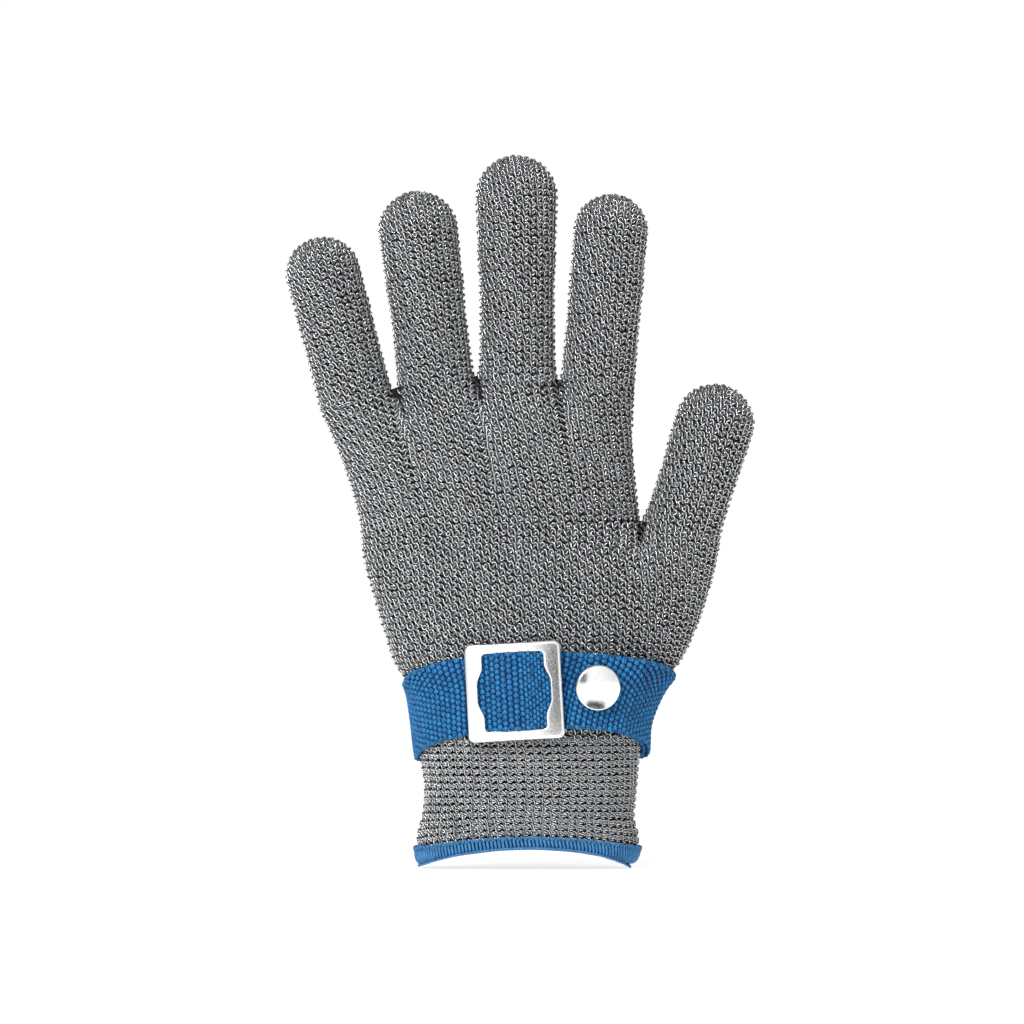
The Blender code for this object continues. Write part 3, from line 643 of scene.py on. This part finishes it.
def thread_material(name, low, high, turn, roughness=0.55, sheen=0.0, shine=0.5):
    """Twisted thread: painted shade darkens its colour in the grooves between its plies, and its tone is
    patchy.
    """
    made, nodes, links, shader = new_material(name)
    ridge_and_groove_shade = plies(nodes, links, turn)
    patchy = noise(nodes, links, 650.0, 3.0)
    groove_shade_and_patches = math_node(nodes, links, "MULTIPLY_ADD", ridge_and_groove_shade, 1.6, patchy)
    # the darker end of this ramp is painted shade in the grooves between the plies; the patches are the
    # thread's own uneven tone
    links.new(ramp(nodes, links, groove_shade_and_patches, ((0.45, low), (0.85, high))), shader.inputs["Base Color"])
    rough = ramp(nodes, links, patchy, ((0.3, roughness), (0.7, roughness + 0.15)))
    links.new(rough, shader.inputs["Roughness"])
    shader.inputs["Specular IOR Level"].default_value = shine
    shader.inputs["Sheen Weight"].default_value = sheen
    shader.inputs["Sheen Roughness"].default_value = 0.4
    links.new(bump(nodes, links, ridge_and_groove_shade, 0.00012), shader.inputs["Normal"])
    return made


def plain_material(name, low, high, roughness, scale):
    made, nodes, links, shader = new_material(name)
    shader.inputs["Specular IOR Level"].default_value = 0.15
    patchy = noise(nodes, links, scale, 4.0)
    links.new(ramp(nodes, links, patchy, ((0.35, low), (0.65, high))), shader.inputs["Base Color"])
    rough = ramp(nodes, links, patchy, ((0.3, roughness), (0.7, roughness + 0.08)))
    links.new(rough, shader.inputs["Roughness"])
    links.new(bump(nodes, links, patchy, 0.0001), shader.inputs["Normal"])
    return made


def steel_material(name, low, high, roughness, grain, depth, stretch=(1.0, 1.0, 1.0)):
    made, nodes, links, shader = new_material(name)
    fine = noise(nodes, links, grain, 4.0, stretch)
    links.new(ramp(nodes, links, fine, ((0.3, low), (0.7, high))), shader.inputs["Base Color"])
    shader.inputs["Metallic"].default_value = 1.0
    rough = ramp(nodes, links, fine, ((0.3, roughness * 0.8), (0.7, roughness * 1.25)))
    links.new(rough, shader.inputs["Roughness"])
    links.new(bump(nodes, links, fine, depth, 0.6), shader.inputs["Normal"])
    return made


# Strap ----------------------------------------------------
def wrist_at(height):
    """(middle x, half width, half depth) of the knitted wall at each height."""
    rows = catmull_rom(HEEL_ROWS, np.linspace(0, 1, 400))
    level = (rows[:, 1] + rows[:, 5]) / 2
    left, right, depth = (np.interp(height, level, rows[:, k]) for k in (0, 4, 6))
    return (left + right) / 2, (right - left) / 2, depth


def wrist_point(angle, height, out):
    """Points at angles in degrees round the wrist, out from the knit, with their normals."""
    middle, half_width, half_depth = wrist_at(height)
    c, s = np.sin(np.radians(angle)), np.cos(np.radians(angle))
    power = 2 / SECTION_POWER
    x = signed_power(c, power) * half_width
    y = -signed_power(s, power) * half_depth
    gx = signed_power(c, 2 - power) / half_width
    gy = -signed_power(s, 2 - power) / half_depth
    normal = unit(np.stack((gx, gy, np.zeros_like(gx)), axis=-1))
    return np.stack((middle + x, y, height), axis=-1) + normal * np.asarray(out)[..., None], normal


def strap_height(angle, across):
    turn = np.cos(np.radians(angle - STRAP_PEAK_DEG))
    rise = np.where(turn > 0, STRAP_RISE, STRAP_DROP) * turn
    return STRAP_MIDDLE + rise + (across - 0.5) * WEBBING_WIDTH


def strap_x(angles):
    return wrist_point(angles, strap_height(angles, 0.5), np.zeros_like(angles))[0][:, 0]


def angle_at(x):
    angles = np.linspace(-90, 90, 721)
    return float(np.interp(x, strap_x(angles), angles))


def hardware_matrix(x, out, up=0.0):
    """A frame on the strap at x: its X runs along the strap, Y up the hand, Z out of the strap."""
    angle = angle_at(x)

    def place(a, across):
        return wrist_point(np.array((a,)), strap_height(np.array((a,)), across), np.array((out,)))[0][0]

    along = unit(place(angle + 2, 0.5) - place(angle - 2, 0.5))
    rise = place(angle, 0.9) - place(angle, 0.1)
    upward = unit(rise - along * rise.dot(along))
    turn = Matrix((along, upward, np.cross(along, upward))).transposed().to_4x4()
    return Matrix.Translation(Vector(place(angle, 0.5))) @ turn @ Matrix.Translation((0, up, 0))


def moved(matrix, points):
    """Points, in any shape of array, put through a matrix."""
    turn = np.array(matrix)
    return points @ turn[:3, :3].T + turn[:3, 3]


class Ribbon:
    """A strip of webbing as a grid: rows along it, columns across it, with normals."""

    def __init__(self, points, normals):
        self.points, self.normals = points, normals
        self.along = distance_along(points[:, points.shape[1] // 2])
        self.length = self.along[-1]

    def at(self, distance, across, out=0.0):
        """Points and normals at distances along it, across it from 0 to 1, and out of it."""
        distance, across = np.broadcast_arrays(distance, across)
        row = np.interp(distance, self.along, np.arange(len(self.along)))
        low = np.minimum(row.astype(int), len(self.along) - 2)
        f = (row - low)[:, None]
        column = np.clip(across, -0.03, 1.03) * (self.points.shape[1] - 1)
        left = np.clip(np.floor(column).astype(int), 0, self.points.shape[1] - 2)
        g = (column - left)[:, None]
        point, normal = (between(values, low, left, f, g) for values in (self.points, self.normals))
        return point + normal * np.broadcast_to(out, len(row))[:, None], normal


def wrist_ribbon(angles, level, count):
    """Webbing round the wrist. level(angles) is how far its inner face is out from the knit."""
    angles = np.linspace(angles[0], angles[1], count)
    out = level(angles) + WEBBING_THICK / 2
    low, high = (wrist_point(angles, strap_height(angles, across), out)[0] for across in (0, 1))
    narrower = WEBBING_WIDTH / np.linalg.norm(high - low, axis=1)
    heights = [strap_height(angles, 0.5 + across * narrower) for across in np.linspace(-0.5, 0.5, 9)]
    lines = zip(*(wrist_point(angles, height, out) for height in heights))
    return Ribbon(*(np.stack(line, axis=1) for line in lines))


def weave(name, ribbon, span=(0.0, 1.0), picks=None):
    """Woven webbing: fat lengthwise yarns over and under thin crosswise ones, round a core.

    picks(distance) says how many crosswise yarns have been passed.
    """
    mesh = Mesh()
    width = np.linalg.norm(ribbon.points[0, -1] - ribbon.points[0, 0])
    low, high = ribbon.length * span[0], ribbon.length * span[1]
    distance = np.linspace(low, high, max(8, int((high - low) / 0.26)))
    passed = picks(distance) if picks else distance / PICK
    for end in range(ENDS):
        across = 0.015 + 0.97 * (end + 0.5) / ENDS
        over = smoothstep(1.1 * np.cos(np.pi * (passed + end)) - 0.1)
        crooked = 0.10 * wander(distance * 2.0, end * 1.7, 3.0)
        path, normal = ribbon.at(distance, across + crooked / width, END_CLIMB * over - 0.24)
        radius = END_RADIUS + END_SWELL * over
        mesh.tube(path, normal, radius, sides=7, closed=False, flat=0.62, start=RNG.uniform(0, 9))
    selvedge(mesh, ribbon, distance, width)
    made = mesh.make(name, WEBBING_BLUE)
    core = Mesh()
    steps = np.linspace(low, high, max(6, len(distance) // 4))
    columns = np.linspace(0.02, 0.98, 9)
    outline = [(c, -CORE_HALF) for c in columns] + [(c, CORE_HALF) for c in columns[::-1]]
    core.sheet(np.stack([ribbon.at(steps, across, out)[0] for across, out in outline], axis=1), True)
    return made, core.make(name + "_core", WEBBING_CORE)


def selvedge(mesh, ribbon, distance, width):
    """The crosswise yarn's turns round the two edges of the webbing."""
    per_turn = 8
    for edge, inward in ((0.0, 1), (1.0, -1)):
        length = distance[-1] - distance[0]
        turns = max(2, round(length / (PICK / 2)))
        t = np.arange(turns * per_turn + 1) / per_turn
        turn = 2 * np.pi * t
        along = distance[0] + length * t / turns
        across = edge + inward * (0.75 + 0.45 * np.cos(turn)) / width
        path, normal = ribbon.at(along, across, 0.44 * np.sin(turn))
        mesh.tube(path, normal, SELVEDGE_RADIUS, sides=5, closed=False, start=edge)


# Turned and stamped metal ---------------------------------
def turned(name, profile, finish, matrix, sides=72):
    """A closed solid of revolution. profile holds (radius, height) pairs that begin and end on the axis."""
    mesh = Mesh()
    angle = 2 * np.pi * np.arange(sides) / sides
    profile = np.array(profile)
    middle = profile[1:-1]
    x = middle[:, :1] * np.cos(angle)
    y = middle[:, :1] * np.sin(angle)
    rings = np.stack((x, y, np.broadcast_to(middle[:, 1:], x.shape)), axis=-1)
    mesh.sheet(moved(matrix, rings[::-1]), closed_across=True)
    mesh.cap(moved(matrix, rings[0]))
    mesh.cap(moved(matrix, rings[-1][::-1]))
    return mesh.make(name, finish)


def rounded_outline(half_width, half_height, radius, bulge=0.0, side_points=30, corner_points=8):
    """A rectangle's outline with round corners, counter-clockwise, its upright sides bowed out."""
    arcs = []
    for quarter, (sx, sy) in enumerate(((1, 1), (-1, 1), (-1, -1), (1, -1))):
        angle = np.pi / 2 * (quarter + np.arange(corner_points + 1) / corner_points)
        centre = (sx * (half_width - radius), sy * (half_height - radius))
        arcs.append(np.stack((np.cos(angle), np.sin(angle)), axis=-1) * radius + centre)
    t = np.arange(1, side_points)[:, None] / side_points
    bow = bulge * smoothstep((t - 0.12) / 0.26) * smoothstep((0.88 - t) / 0.26)
    points = []
    for quarter, arc in enumerate(arcs):
        following = arcs[(quarter + 1) % 4][0]
        side = arc[-1] + (following - arc[-1]) * t
        if quarter in (1, 3):
            side[:, :1] += math.copysign(1, arc[-1][0]) * bow
        points += [arc, side]
    return np.concatenate(points)


def buckle_piece(finish, matrix):
    """The stamped frame: a turned-down edge, a crowned face, a bowed opening and its cross bar."""
    edge_radius, lip_radius = 0.9, 0.2
    top, under = BUCKLE_DEPTH, BUCKLE_DEPTH - BUCKLE_SHEET

    def outer(inset):
        corner = max(0.5, BUCKLE_CORNER - inset)
        return rounded_outline(BUCKLE_WIDTH / 2 - inset, BUCKLE_HEIGHT / 2 - inset, corner)

    def opening(grow):
        half_width, half_height = OPENING_HALF_WIDTH + grow, OPENING_HALF_HEIGHT + grow
        return rounded_outline(half_width, half_height, OPENING_CORNER + grow, OPENING_BULGE)

    def quarter_turn(radius, steps=6):
        angles = np.linspace(0, math.pi / 2, steps)
        return [(radius * (1 - math.cos(a)), radius * (1 - math.sin(a))) for a in angles]

    rings = [(outer(0), 0.0)]
    rings += [(outer(inset), top - drop) for inset, drop in quarter_turn(edge_radius)]
    for t in np.linspace(0, 1, 7)[1:-1]:
        rings.append((outer(edge_radius) * (1 - t) + opening(lip_radius) * t, top))
    rings += [(opening(inset), top - drop) for inset, drop in reversed(quarter_turn(lip_radius, 4))]
    rings += [(opening(0), under), (outer(BUCKLE_SHEET), under), (outer(BUCKLE_SHEET), 0.0), (outer(0), 0.0)]
    grid = []
    for outline, height in rings:
        x, y = np.abs(outline[:, 0]) / (BUCKLE_WIDTH / 2), np.abs(outline[:, 1]) / (BUCKLE_HEIGHT / 2)
        crown = (1.0 * x**2.5 + 0.3 * y**2.5) * height / top
        grid.append(np.column_stack((outline, height - crown)))
    mesh = Mesh()
    mesh.sheet(moved(matrix, np.array(grid)), closed_across=True)
    low, high, reach = 0.4, under + 0.05, OPENING_HALF_HEIGHT + 1.2
    bar = np.array([
        [(side * BAR_HALF_WIDTH, y, z) for side, z in ((-1, low), (1, low), (1, high), (-1, high))]
        for y in np.linspace(-reach, reach, 12)
    ])
    mesh.sheet(moved(matrix, bar[::-1]), closed_across=True)
    return mesh.make("buckle_plate", finish)


# Build ----------------------------------------------------
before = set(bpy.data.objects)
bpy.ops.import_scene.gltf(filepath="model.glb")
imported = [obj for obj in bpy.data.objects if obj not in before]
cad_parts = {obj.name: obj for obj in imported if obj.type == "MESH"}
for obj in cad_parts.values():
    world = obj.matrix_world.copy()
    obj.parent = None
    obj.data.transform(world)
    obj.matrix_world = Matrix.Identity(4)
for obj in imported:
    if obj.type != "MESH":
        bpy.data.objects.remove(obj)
cad_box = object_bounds()

# the thread materials' darker ends also carry painted shade in the grooves between their plies
YARN_GREY = thread_material("yarn_grey", (0.012, 0.013, 0.015), (0.07, 0.075, 0.08), 1.4, 0.7)
# near-black painted shade for the gaps between the stitches, with a little patchiness
SHADE_SHEET_BLACK = plain_material("painted_shade_sheet", (0.006, 0.006, 0.007), (0.016, 0.016, 0.018), 0.9, 500.0)
WIRE_STEEL = steel_material("wire_steel", (0.74, 0.76, 0.77), (0.94, 0.95, 0.96), 0.32, 900.0, 0.00001)
WEBBING_BLUE = thread_material(
    "webbing_blue", (0.001, 0.034, 0.115), (0.012, 0.18, 0.42), 1.3, sheen=0.03, shine=0.35
)
WEBBING_CORE = plain_material("webbing_core", (0.002, 0.016, 0.06), (0.004, 0.03, 0.10), 0.8, 900.0)
HEM_THREAD = thread_material(
    "hem_thread", (0.010, 0.085, 0.22), (0.05, 0.21, 0.43), 0.9, sheen=0.05, shine=0.3
)
BRUSHED_STEEL = steel_material("brushed_steel", 0.80, 0.92, 0.20, 5200.0, 0.000012, (1.0, 1.0, 0.3))
POLISHED_STEEL = steel_material("polished_steel", 0.84, 0.90, 0.17, 700.0, 0.000004)


def stand_in(node, body, pieces):
    """Pieces that are seen in place of a CAD node and move stiffly with a body."""
    for made in pieces:
        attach(made, body)
        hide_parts(node)


def blend_along(obj, direction):
    """Bakes obj's placement into its mesh; it is not bent."""
    direction = Vector(direction)
    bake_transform(obj)


def build_hand():
    halves = cuff_halves() + half_rows(HEEL_ROWS, 60, HEEL_LOBES, SECTION_POWER)[1:]
    whole = cuff_halves() + whole_rows(HEEL_ROWS, 60)[1:]
    cuff = Skin(halves, CUFF_COURSE, whole)
    lower = Skin(halves, COURSE, whole)
    cuff_top, heel_low = cuff.height(CUFF_KNIT_TOP), lower.height(CUFF_KNIT_TOP)
    middle = round(cuff_top / 2)
    cuff_pieces = (
        *knit_piece("cuff_1", cuff, 0.4, middle, RIBBED),
        *knit_piece("cuff_2", cuff, middle, cuff_top, RIBBED),
        shade_sheet_piece("cuff", cuff, -0.2, cuff_top, CUFF_SHADE_SHEET_DEPTH),
    )
    for made in cuff_pieces:
        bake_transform(made)
        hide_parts("cuff_knit")
    lobed = half_rows(PALM_ROWS, 40, PALM_LOBES)
    upper = Skin(lobed, COURSE, whole_rows(PALM_ROWS, 40), level=False)
    upper.follow(lower, -9.0)
    for node, skin, low, parts in (("heel_knit", lower, heel_low, 4), ("palm_knit", upper, 0.0, 3)):
        label = node.split("_")[0]
        cuts = np.linspace(low, skin.rows, parts + 1)
        for k in range(parts):
            name = f"{label}_{k + 1}"
            stand_in(node, "palm", knit_piece(name, skin, cuts[k], cuts[k + 1], PLAIN))
        foot, head = max(-SHADE_SHEET_OVERLAP, low - 1), skin.rows + SHADE_SHEET_OVERLAP
        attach(shade_sheet_piece(label, skin, foot, head), "palm")
    build_hem(cuff)
    return lower, upper


def build_fingers(heel, palm):
    for name, shape in FINGERS.items():
        finger = Finger(shape)
        skin = Skin(finger.halves(), COURSE)
        skin.follow(heel if name == "thumb" else palm, finger.start[0])
        labels = ("proximal", "distal") if name == "thumb" else ("proximal", "middle", "distal")
        folds = THUMB_FOLDS if name == "thumb" else FINGER_FOLDS
        cuts = [0.0] + [(a + b) / 2 * finger.length / finger.reach for a, b in zip(folds, folds[1:])] + [1.0]
        for k, label in enumerate(labels):
            body = f"{name}_{label}"
            low, high = cuts[k] * skin.rows, cuts[k + 1] * skin.rows
            skin.sink = FINGERTIP_SINK if label == "distal" and name != "thumb" else 0.0
            pieces = (
                *knit_piece(body, skin, low, high, PLAIN),
                shade_sheet_piece(body, skin, low if k else -SHADE_SHEET_OVERLAP, high),
            )
            for made in pieces:
                blend_along(made, finger.axis)
                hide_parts(body)


def hem_path(skin, q, height, out):
    """Points beside the cuff's lower edge: height above the hem's own lower edge, out from the knit."""
    v = (height - HEM_WALL - GAP) / CUFF_COURSE
    return skin.place(np.mod(q, 2 * skin.half_length(0.0)), 0.0, v_off=v, n_off=out)


def build_hem(skin):
    """Overlocked thread: slanted wraps round the edge, a zigzag along their top, one cord below."""
    round_length = 2 * skin.half_length(0.0)
    pitch, slant, per_wrap = 1.22, 1.5, 20
    wrap_radius, zigzag_radius, cord_radius = 0.45, 0.27, 0.33
    wraps = round(round_length / pitch)
    t = np.arange(wraps * per_wrap) / per_wrap
    turn = 2 * np.pi * t
    half_height, middle = (HEM_HEIGHT - 0.5) / 2, (HEM_HEIGHT + 0.1) / 2
    squarish = signed_power(np.sin(turn), 0.8)
    wavy = 0.35 * wander(t * 0.5, 0.0, 2.0)
    height = middle + (half_height + 0.2) * squarish + 0.65 + wavy
    half_wall = KNIT_WALL / 2 + GAP + 0.35
    out = -KNIT_WALL / 2 + half_wall * signed_power(np.cos(turn), 0.7)
    q = t * round_length / wraps - slant * squarish / 2 * signed_power(np.cos(turn), 0.5)
    mesh = Mesh()
    path, normal = hem_path(skin, q, height, out)
    mesh.tube(path, normal, wrap_radius, sides=6, flat=0.9)
    q = np.arange(round(round_length / 0.3)) * 0.3
    zigzag = np.sin(2 * np.pi * q / (round_length / round(round_length / 1.7)))
    path, normal = hem_path(skin, q, HEM_HEIGHT + 0.5 + 0.55 * zigzag, 0.95)
    mesh.tube(path, normal, zigzag_radius, sides=5)
    path, normal = hem_path(skin, q, 0.7 + 0.12 * wander(q, 0.0, 5.0), 1.0)
    mesh.tube(path, normal, cord_radius, sides=6)
    thread = mesh.make("hem_wraps", HEM_THREAD)
    inner = Mesh()
    q = np.arange(160) * round_length / 160
    corners = ((0.35, 0.25), (4.1, 0.25), (4.1, -1.85), (0.35, -1.85))
    ring = [hem_path(skin, q, height, out)[0] for height, out in corners]
    inner.sheet(np.array(ring + ring[:1]), closed_across=True)
    core = inner.make("hem_core", WEBBING_CORE)
    stand_in("cuff_hem", "cuff", (thread, core))


def band_level(angles):
    bump_up = 0.4 * smoothstep(1.6 - np.abs(strap_x(angles) - SNAP_X) / 6)
    return GAP + np.where(angles < 90, bump_up, 0.0)


def flap_level(angles):
    x = strap_x(angles)
    climb = 2 * GAP + WEBBING_THICK - FLAP_START_LEVEL
    over_end = FLAP_START_LEVEL + climb * smoothstep((x - FLAP_START_X) / 1.9)
    lift = SNAP_LIFT - 2 * GAP - WEBBING_THICK
    bump_up = smoothstep((x - FLAP_START_X) / 2.5) * smoothstep((36.0 - x) / 8.5)
    return np.where(angles < 75, over_end + lift * bump_up, 2 * GAP + WEBBING_THICK)


def bridge_ribbon(matrix):
    """The webbing that rises over the buckle's bar and goes down under its two sides."""
    reach = BUCKLE_WIDTH / 2 - 0.9 - GAP
    x = np.linspace(-reach, reach, 120)
    slope = smoothstep((OPENING_HALF_WIDTH - 0.6 - np.abs(x)) / 6.5)
    low = (BUCKLE_DEPTH + GAP) * slope
    under_sheet = BUCKLE_DEPTH - BUCKLE_SHEET - GAP
    z = low + (under_sheet + (WEBBING_THICK * 0.9 - under_sheet) * slope) / 2
    half = OPENING_HALF_HEIGHT + 0.15
    y = np.linspace(-half, half, 9)
    points = np.stack(np.broadcast_arrays(x[:, None], y[None, :], z[:, None]), axis=-1)
    lean = unit(np.stack((-np.gradient(z, x), np.zeros_like(x), np.ones_like(x)), axis=-1))
    normals = np.broadcast_to(lean[:, None], points.shape) @ np.array(matrix)[:3, :3].T
    return Ribbon(moved(matrix, points), normals)


def build_strap():
    band = wrist_ribbon((angle_at(INNER_END_X), 360 + angle_at(BAND_END_X)), band_level, 400)
    for k in range(2):
        span = (k / 2, (k + 1) / 2)
        stand_in("strap_band", "palm", weave(f"strap_weave_{k + 1}", band, span))
    flap = wrist_ribbon((angle_at(FLAP_START_X - 2.2), FLAP_END_DEG), flap_level, 240)
    along = Vector(hardware_matrix(FLAP_START_X, FLAP_START_LEVEL).col[0][:3])
    for made in weave("flap_weave", flap):
        blend_along(made, along)
        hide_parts("strap_flap")


def build_hardware():
    on_strap = hardware_matrix(BUCKLE_X, GAP + WEBBING_THICK + GAP)
    stand_in("buckle_frame", "buckle", [buckle_piece(BRUSHED_STEEL, on_strap)])
    bunched = 9.0  # the webbing's crosswise yarns crowd together past this many from its start

    def picks(distance):
        passed = distance / PICK
        return passed + 0.55 * np.maximum(0.0, passed - bunched)

    bridge = weave("bridge_weave", bridge_ribbon(on_strap), picks=picks)
    stand_in("strap_bridge", "buckle", bridge)
    deck, radius = SNAP_LIFT + WEBBING_THICK, SNAP_CAP_RADIUS
    edge = 0.75  # radius of the cap's round edge, seen from above
    face = radius - edge
    dome = [(r, deck + 2.9 - 0.8 * (r / face) ** 2.2) for r in np.linspace(0, face, 22)]
    angles = np.linspace(0.25, math.pi / 2, 9)
    rim = [(face + edge * math.sin(a), deck + 1.15 + 0.95 * math.cos(a)) for a in angles]
    below = ((radius, 0.45), (7.35, 0.2), (7.0, 0.12), (1.4, 0.12), (1.4, -1.5), (0, -1.5))
    profile = dome + rim + [(r, deck + height) for r, height in below]
    cap = turned("snap_dome", profile, POLISHED_STEEL, hardware_matrix(SNAP_X, 0.0, SNAP_UP))
    stand_in("snap_cap", "flap", [cap])
    for node in ("snap_socket", "snap_stud", "snap_post"):
        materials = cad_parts[node].data.materials
        materials.clear()
        materials.append(BRUSHED_STEEL)


# Stage ----------------------------------------------------
def flat_card(name, corners):
    mesh = bpy.data.meshes.new(name)
    mesh.from_pydata(corners, [], [(0, 1, 2, 3)])
    obj = new_object(name, mesh)
    return obj


def flag(name, middle, width, height, tilt=0.0):
    """A black card that only reflections see, upright and facing the glove unless it is tilted."""
    middle = Vector(middle)
    away = math.atan2(middle.x, -middle.y)
    right = Vector((math.cos(away), math.sin(away), 0.0))
    back = Vector((math.sin(away), -math.cos(away), 0.0))
    up = Vector((0.0, 0.0, math.cos(math.radians(tilt)))) - back * math.sin(math.radians(tilt))
    sides = ((-1, -1), (1, -1), (1, 1), (-1, 1))
    card = flat_card(name, [middle + right * width / 2 * x + up * height / 2 * y for x, y in sides])
    card.visible_camera = False
    card.visible_diffuse = False
    card.visible_shadow = False
    card.visible_transmission = False
    made, *_, shader = new_material(name)
    shader.inputs["Base Color"].default_value = (0.01, 0.01, 0.01, 1)
    shader.inputs["Roughness"].default_value = 1.0
    shader.inputs["Specular IOR Level"].default_value = 0.0
    card.data.materials.append(made)


def build_stage():
    half, level = 4.0, cad_box[0][2] - 0.0006
    corners = ((-half, -half), (half, -half), (half, half), (-half, half))
    floor = flat_card("floor", [(x, y, level) for x, y in corners])
    made, *_, shader = new_material("floor_white")
    shader.inputs["Base Color"].default_value = (0.6, 0.6, 0.6, 1)
    shader.inputs["Roughness"].default_value = 0.9
    shader.inputs["Specular IOR Level"].default_value = 0.0
    shader.inputs["Emission Color"].default_value = (1, 1, 1, 1)
    shader.inputs["Emission Strength"].default_value = 0.80
    floor.data.materials.append(made)
    flag("flag_beside_camera", (0.19, -1.19, 0.15), 0.33, 0.38)
    flag("flag_on_floor", (0.066, -0.10, cad_box[0][2] + 0.0014), 0.05, 0.05, 90.0)

    world = bpy.data.worlds.new("studio")
    world.use_nodes = True
    nodes, links = world.node_tree.nodes, world.node_tree.links
    light = nodes["Background"]
    direction = nodes.new("ShaderNodeTexCoord")
    split = nodes.new("ShaderNodeSeparateXYZ")
    links.new(direction.outputs["Generated"], split.inputs[0])
    behind = math_node(nodes, links, "MULTIPLY_ADD", split.outputs[1], 0.5, 0.5)
    greys = ((0.0, 1.0), (0.25, 0.64), (0.5, 0.09), (1.0, 0.3))
    links.new(ramp(nodes, links, behind, greys), light.inputs[0])
    light.inputs[1].default_value = 1.25
    backdrop = nodes.new("ShaderNodeBackground")
    mix = nodes.new("ShaderNodeMixShader")
    seen = nodes.new("ShaderNodeLightPath")
    links.new(seen.outputs["Is Camera Ray"], mix.inputs[0])
    links.new(light.outputs[0], mix.inputs[1])
    links.new(backdrop.outputs[0], mix.inputs[2])
    links.new(mix.outputs[0], nodes["World Output"].inputs[0])
    backdrop.inputs[0].default_value = (1, 1, 1, 1)
    bpy.context.scene.world = world

    key = bpy.data.lights.new("key", "AREA")
    key.size = 0.35
    key.energy = 12.0
    lamp = new_object("key", key)
    lamp.location = (-0.45, -0.90, 0.75)
    lamp.rotation_euler = (Vector((0, 0, 0.12)) - lamp.location).to_track_quat("-Z", "Y").to_euler()

    camera = bpy.data.cameras.new("camera")
    distance, field = 3.2, 0.3328
    camera.sensor_width = 36
    camera.lens = camera.sensor_width * distance / field
    viewer = new_object("camera", camera)
    viewer.location = (-0.00569, -distance, 0.11505)
    viewer.rotation_euler = (math.radians(90), 0, 0)
    bpy.context.scene.camera = viewer
    bpy.context.scene.view_settings.view_transform = "Standard"


build_fingers(*build_hand())
build_strap()
build_hardware()
build_stage()
